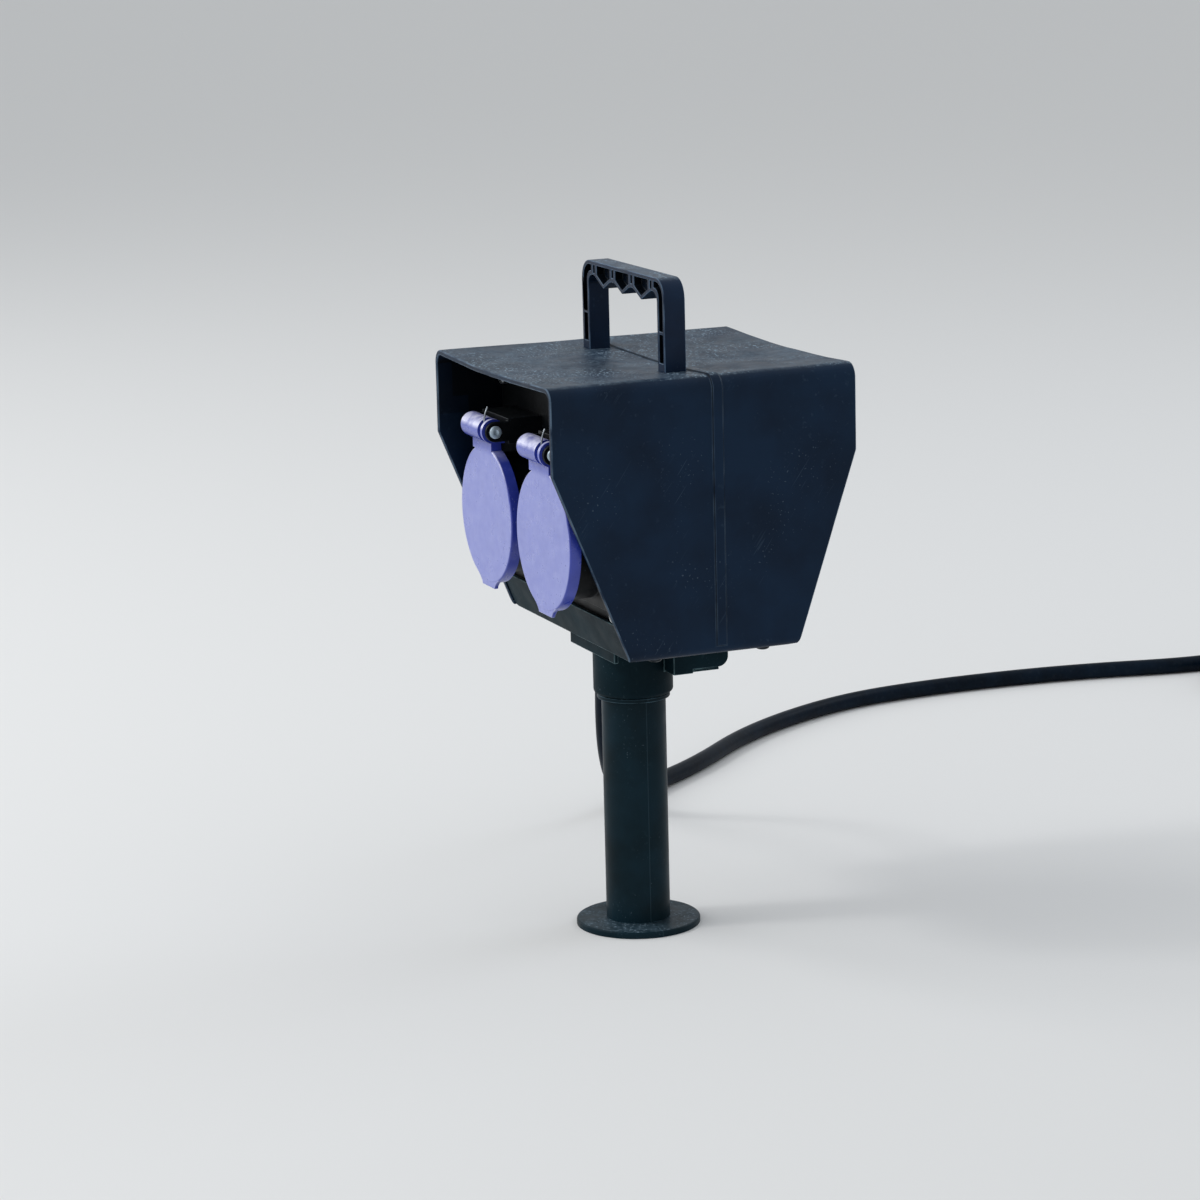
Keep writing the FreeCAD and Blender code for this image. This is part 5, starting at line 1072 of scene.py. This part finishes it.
patterns = {kind: cross_screw(f"{kind}_screw_pattern", *size) for kind, size in SCREW_SIZES.items()}
sets = {}
for end, (way, turn) in ENDS.items():
    face = OUTLET_MIDDLE + way * PANEL_FACE
    spots = [(PANEL_SCREW_SIDE * side, face, height) for side in SIDES for height in PANEL_SCREW_HEIGHTS]
    sets[f"{end}_panel_screws"] = set_screws("panel", spots, turn)
spots = [(TRAY_SCREW_SIDE * side, row, TRAY_FLOOR) for side in SIDES for row in TRAY_SCREW_ROWS]
sets["underside_screws"] = set_screws("tray", spots, POINT_UP)
spots = [(COVER_SCREW_SIDE * side, *COVER_SCREW_SPOT) for side in SIDES]
sets["underside_screws"] += set_screws("cover", spots, POINT_UP)
spots = [(HANDLE_SCREW_SIDE * side, *HANDLE_SCREW_SPOT) for side in SIDES]
sets["handle_screws"] = set_screws("handle", spots, POINT_UP)
sets["collar_screw"] = set_screws("collar", [COLLAR_SCREW_SPOT], POINT_RIGHT)
for end, (way, turn) in ENDS.items():
    face = OUTLET_MIDDLE + way * FLANGE_FACE
    # Each outlet has two screws, in opposite corners of its flange
    spots = []
    for side in SIDES:
        for corner in SIDES:
            height = OUTLET_HEIGHT - way * SOCKET_SCREW_UP * corner
            spots.append((OUTLET_SIDE * side + SOCKET_SCREW_SIDE * corner, face, height))
    sets[f"{end}_socket_screws"] = set_screws("socket", spots, turn)
for pattern in patterns.values():
    bpy.data.objects.remove(pattern)
for node, screws in sets.items():
    steel = BLACKED_STEEL if node in ("underside_screws", "collar_screw") else ZINC
    finish_piece(joined(screws, f"{node}_with_cross"), steel, node, 35)
print("screws:", {node: len(screws) for node, screws in sets.items()})

# %% [markdown]
# ## Plug
# The plug is a solid rubber moulding round two nickel-plated pins. It lies on the coil's end. Its
# neck is ringed so that it can bend, the body widens to a grip with shallow flutes, and the face
# is set back a little inside a rim. The flutes could be cut by a row of cylinders, but points
# that move in and out along a wave leave softer hollows, as a mould does.

# %% Plug
PLUG_SIDES = 48
PLUG_NECK = 6.0
NECK_RING = [(0.4, 6.5), (1.5, 6.5), (0.4, 5.7), (1.0, 5.7)]
NECK_RINGS = 4
SHOULDER = [(0.4, 7.0), (1.6, 8.2), (2.4, 12.6), (2.4, 14.9), (3.0, 16.9), (3.4, 18.0), (2.0, 18.4)]
# Equal steps, so that the grip has rows of points for its flutes
GRIP = [(5.6, 18.4)] * 3
RIM = [(2.4, 18.4), (1.8, 18.1), (0.4, 17.6), (0.0, 16.6), (-0.7, 16.4)]
GRIP_LOW = 28
GRIP_HIGH = 45
FLUTES = 12
FLUTE_DEPTH = 0.035
plug = round_start("plug", PLUG_START, RIGHT, 1.0, PLUG_NECK, PLUG_SIDES)
turn_end(plug, RIGHT, PLUG_NECK, NECK_RING * NECK_RINGS + SHOULDER + GRIP + RIM)
middle = Vector(PLUG_START)
for vertex in plug.data.vertices:
    spot = vertex.co / MM - middle
    if GRIP_LOW < spot.x < GRIP_HIGH:
        around = math.atan2(spot.z, spot.y)
        swell = math.sin(math.pi * (spot.x - GRIP_LOW) / (GRIP_HIGH - GRIP_LOW))
        flute = 1 - FLUTE_DEPTH * swell * (0.5 - 0.5 * math.cos(FLUTES * around))
        vertex.co = (middle + Vector((spot.x, spot.y * flute, spot.z * flute))) * MM
finish_piece(plug, PLUG_RUBBER, "plug_body", 50)
print("plug length in mm:", round(max(v.co.x for v in plug.data.vertices) / MM - PLUG_START[0], 1))

# %% [markdown]
# ## Inner pieces that stay as the CAD model has them
# Contacts, wires and the terminal block hide inside. They could be copied and softened like the
# rest, but nobody would see it, so they keep their solids and get the finish of their real
# material.

# %% Finishes of the inner pieces
KEPT = {
    "terminal_block": TERMINAL_PLASTIC, "live_wires": LIVE_PVC, "neutral_wires": NEUTRAL_PVC,
    "earth_wires": EARTH_PVC, "terminal_screws": ZINC, "plug_pins": NICKEL,
}
for outlet in OUTLETS:
    KEPT[f"{outlet}_contacts"] = BRASS
    KEPT[f"{outlet}_earth_clip"] = BRASS
for node, material in KEPT.items():
    solid = frame["nodes"][node]
    solid.data.materials.clear()
    solid.data.materials.append(material)

print("kept solids:", len(KEPT))

# %% [markdown]
# ## Floor and light
# A plain pale floor that reaches past the frame, under an even studio sky. The sky alone would
# light all sides alike. So a broad soft light stands above and in front of the lids and another
# to their left, a weaker one behind draws the hood's edges, and a small one in front puts the
# glints on screws and pins.

# %% Floor and light
FLOOR_SIZE = 60
FLOOR_DROP = 0.05
bpy.ops.object.select_all(action="DESELECT")
bpy.ops.mesh.primitive_plane_add(size=FLOOR_SIZE, location=(0, 0, -FLOOR_DROP * MM))
floor = bpy.context.object
floor.name = "studio_floor"
floor_paint, _, floor_shader, _ = new_surface("matt_pale_paint", 0.9, gloss=0.1)
floor_shader.inputs["Base Color"].default_value = linear("#dfdfde")
floor.data.materials.append(floor_paint)

world = bpy.data.worlds.new("studio")
bpy.context.scene.world = world
world.use_nodes = True
sky = world.node_tree.nodes["Background"]
sky.inputs["Color"].default_value = linear("#d3d6d9")
sky.inputs["Strength"].default_value = 1.0


def add_lamp(name, spot, target, size, power, tint="#ffffff"):
    """A square soft light that looks at a point."""
    lamp = bpy.data.lights.new(name, "AREA")
    lamp.size = size
    lamp.energy = power
    lamp.color = linear(tint)[:3]
    holder = new_object(name, lamp)
    holder.location = spot
    holder.rotation_euler = (Vector(target) - Vector(spot)).to_track_quat("-Z", "Y").to_euler()


OUTLETS_SPOT = (0, 0, 0.22)
add_lamp("key_light", (-0.7, -1.8, 1.9), (0, 0, 0.2), size=1.4, power=17)
add_lamp("left_light", (-2.2, -1.5, 1.1), OUTLETS_SPOT, size=1.0, power=13)
add_lamp("back_light", (-0.3, 1.9, 1.5), OUTLETS_SPOT, size=1.0, power=6, tint="#eaf2ff")
add_lamp("glint_light", (-0.4, -1.5, 1.5), OUTLETS_SPOT, size=0.25, power=6)
bpy.context.scene.view_settings.view_transform = "Standard"
print("lights:", len(bpy.data.lights))
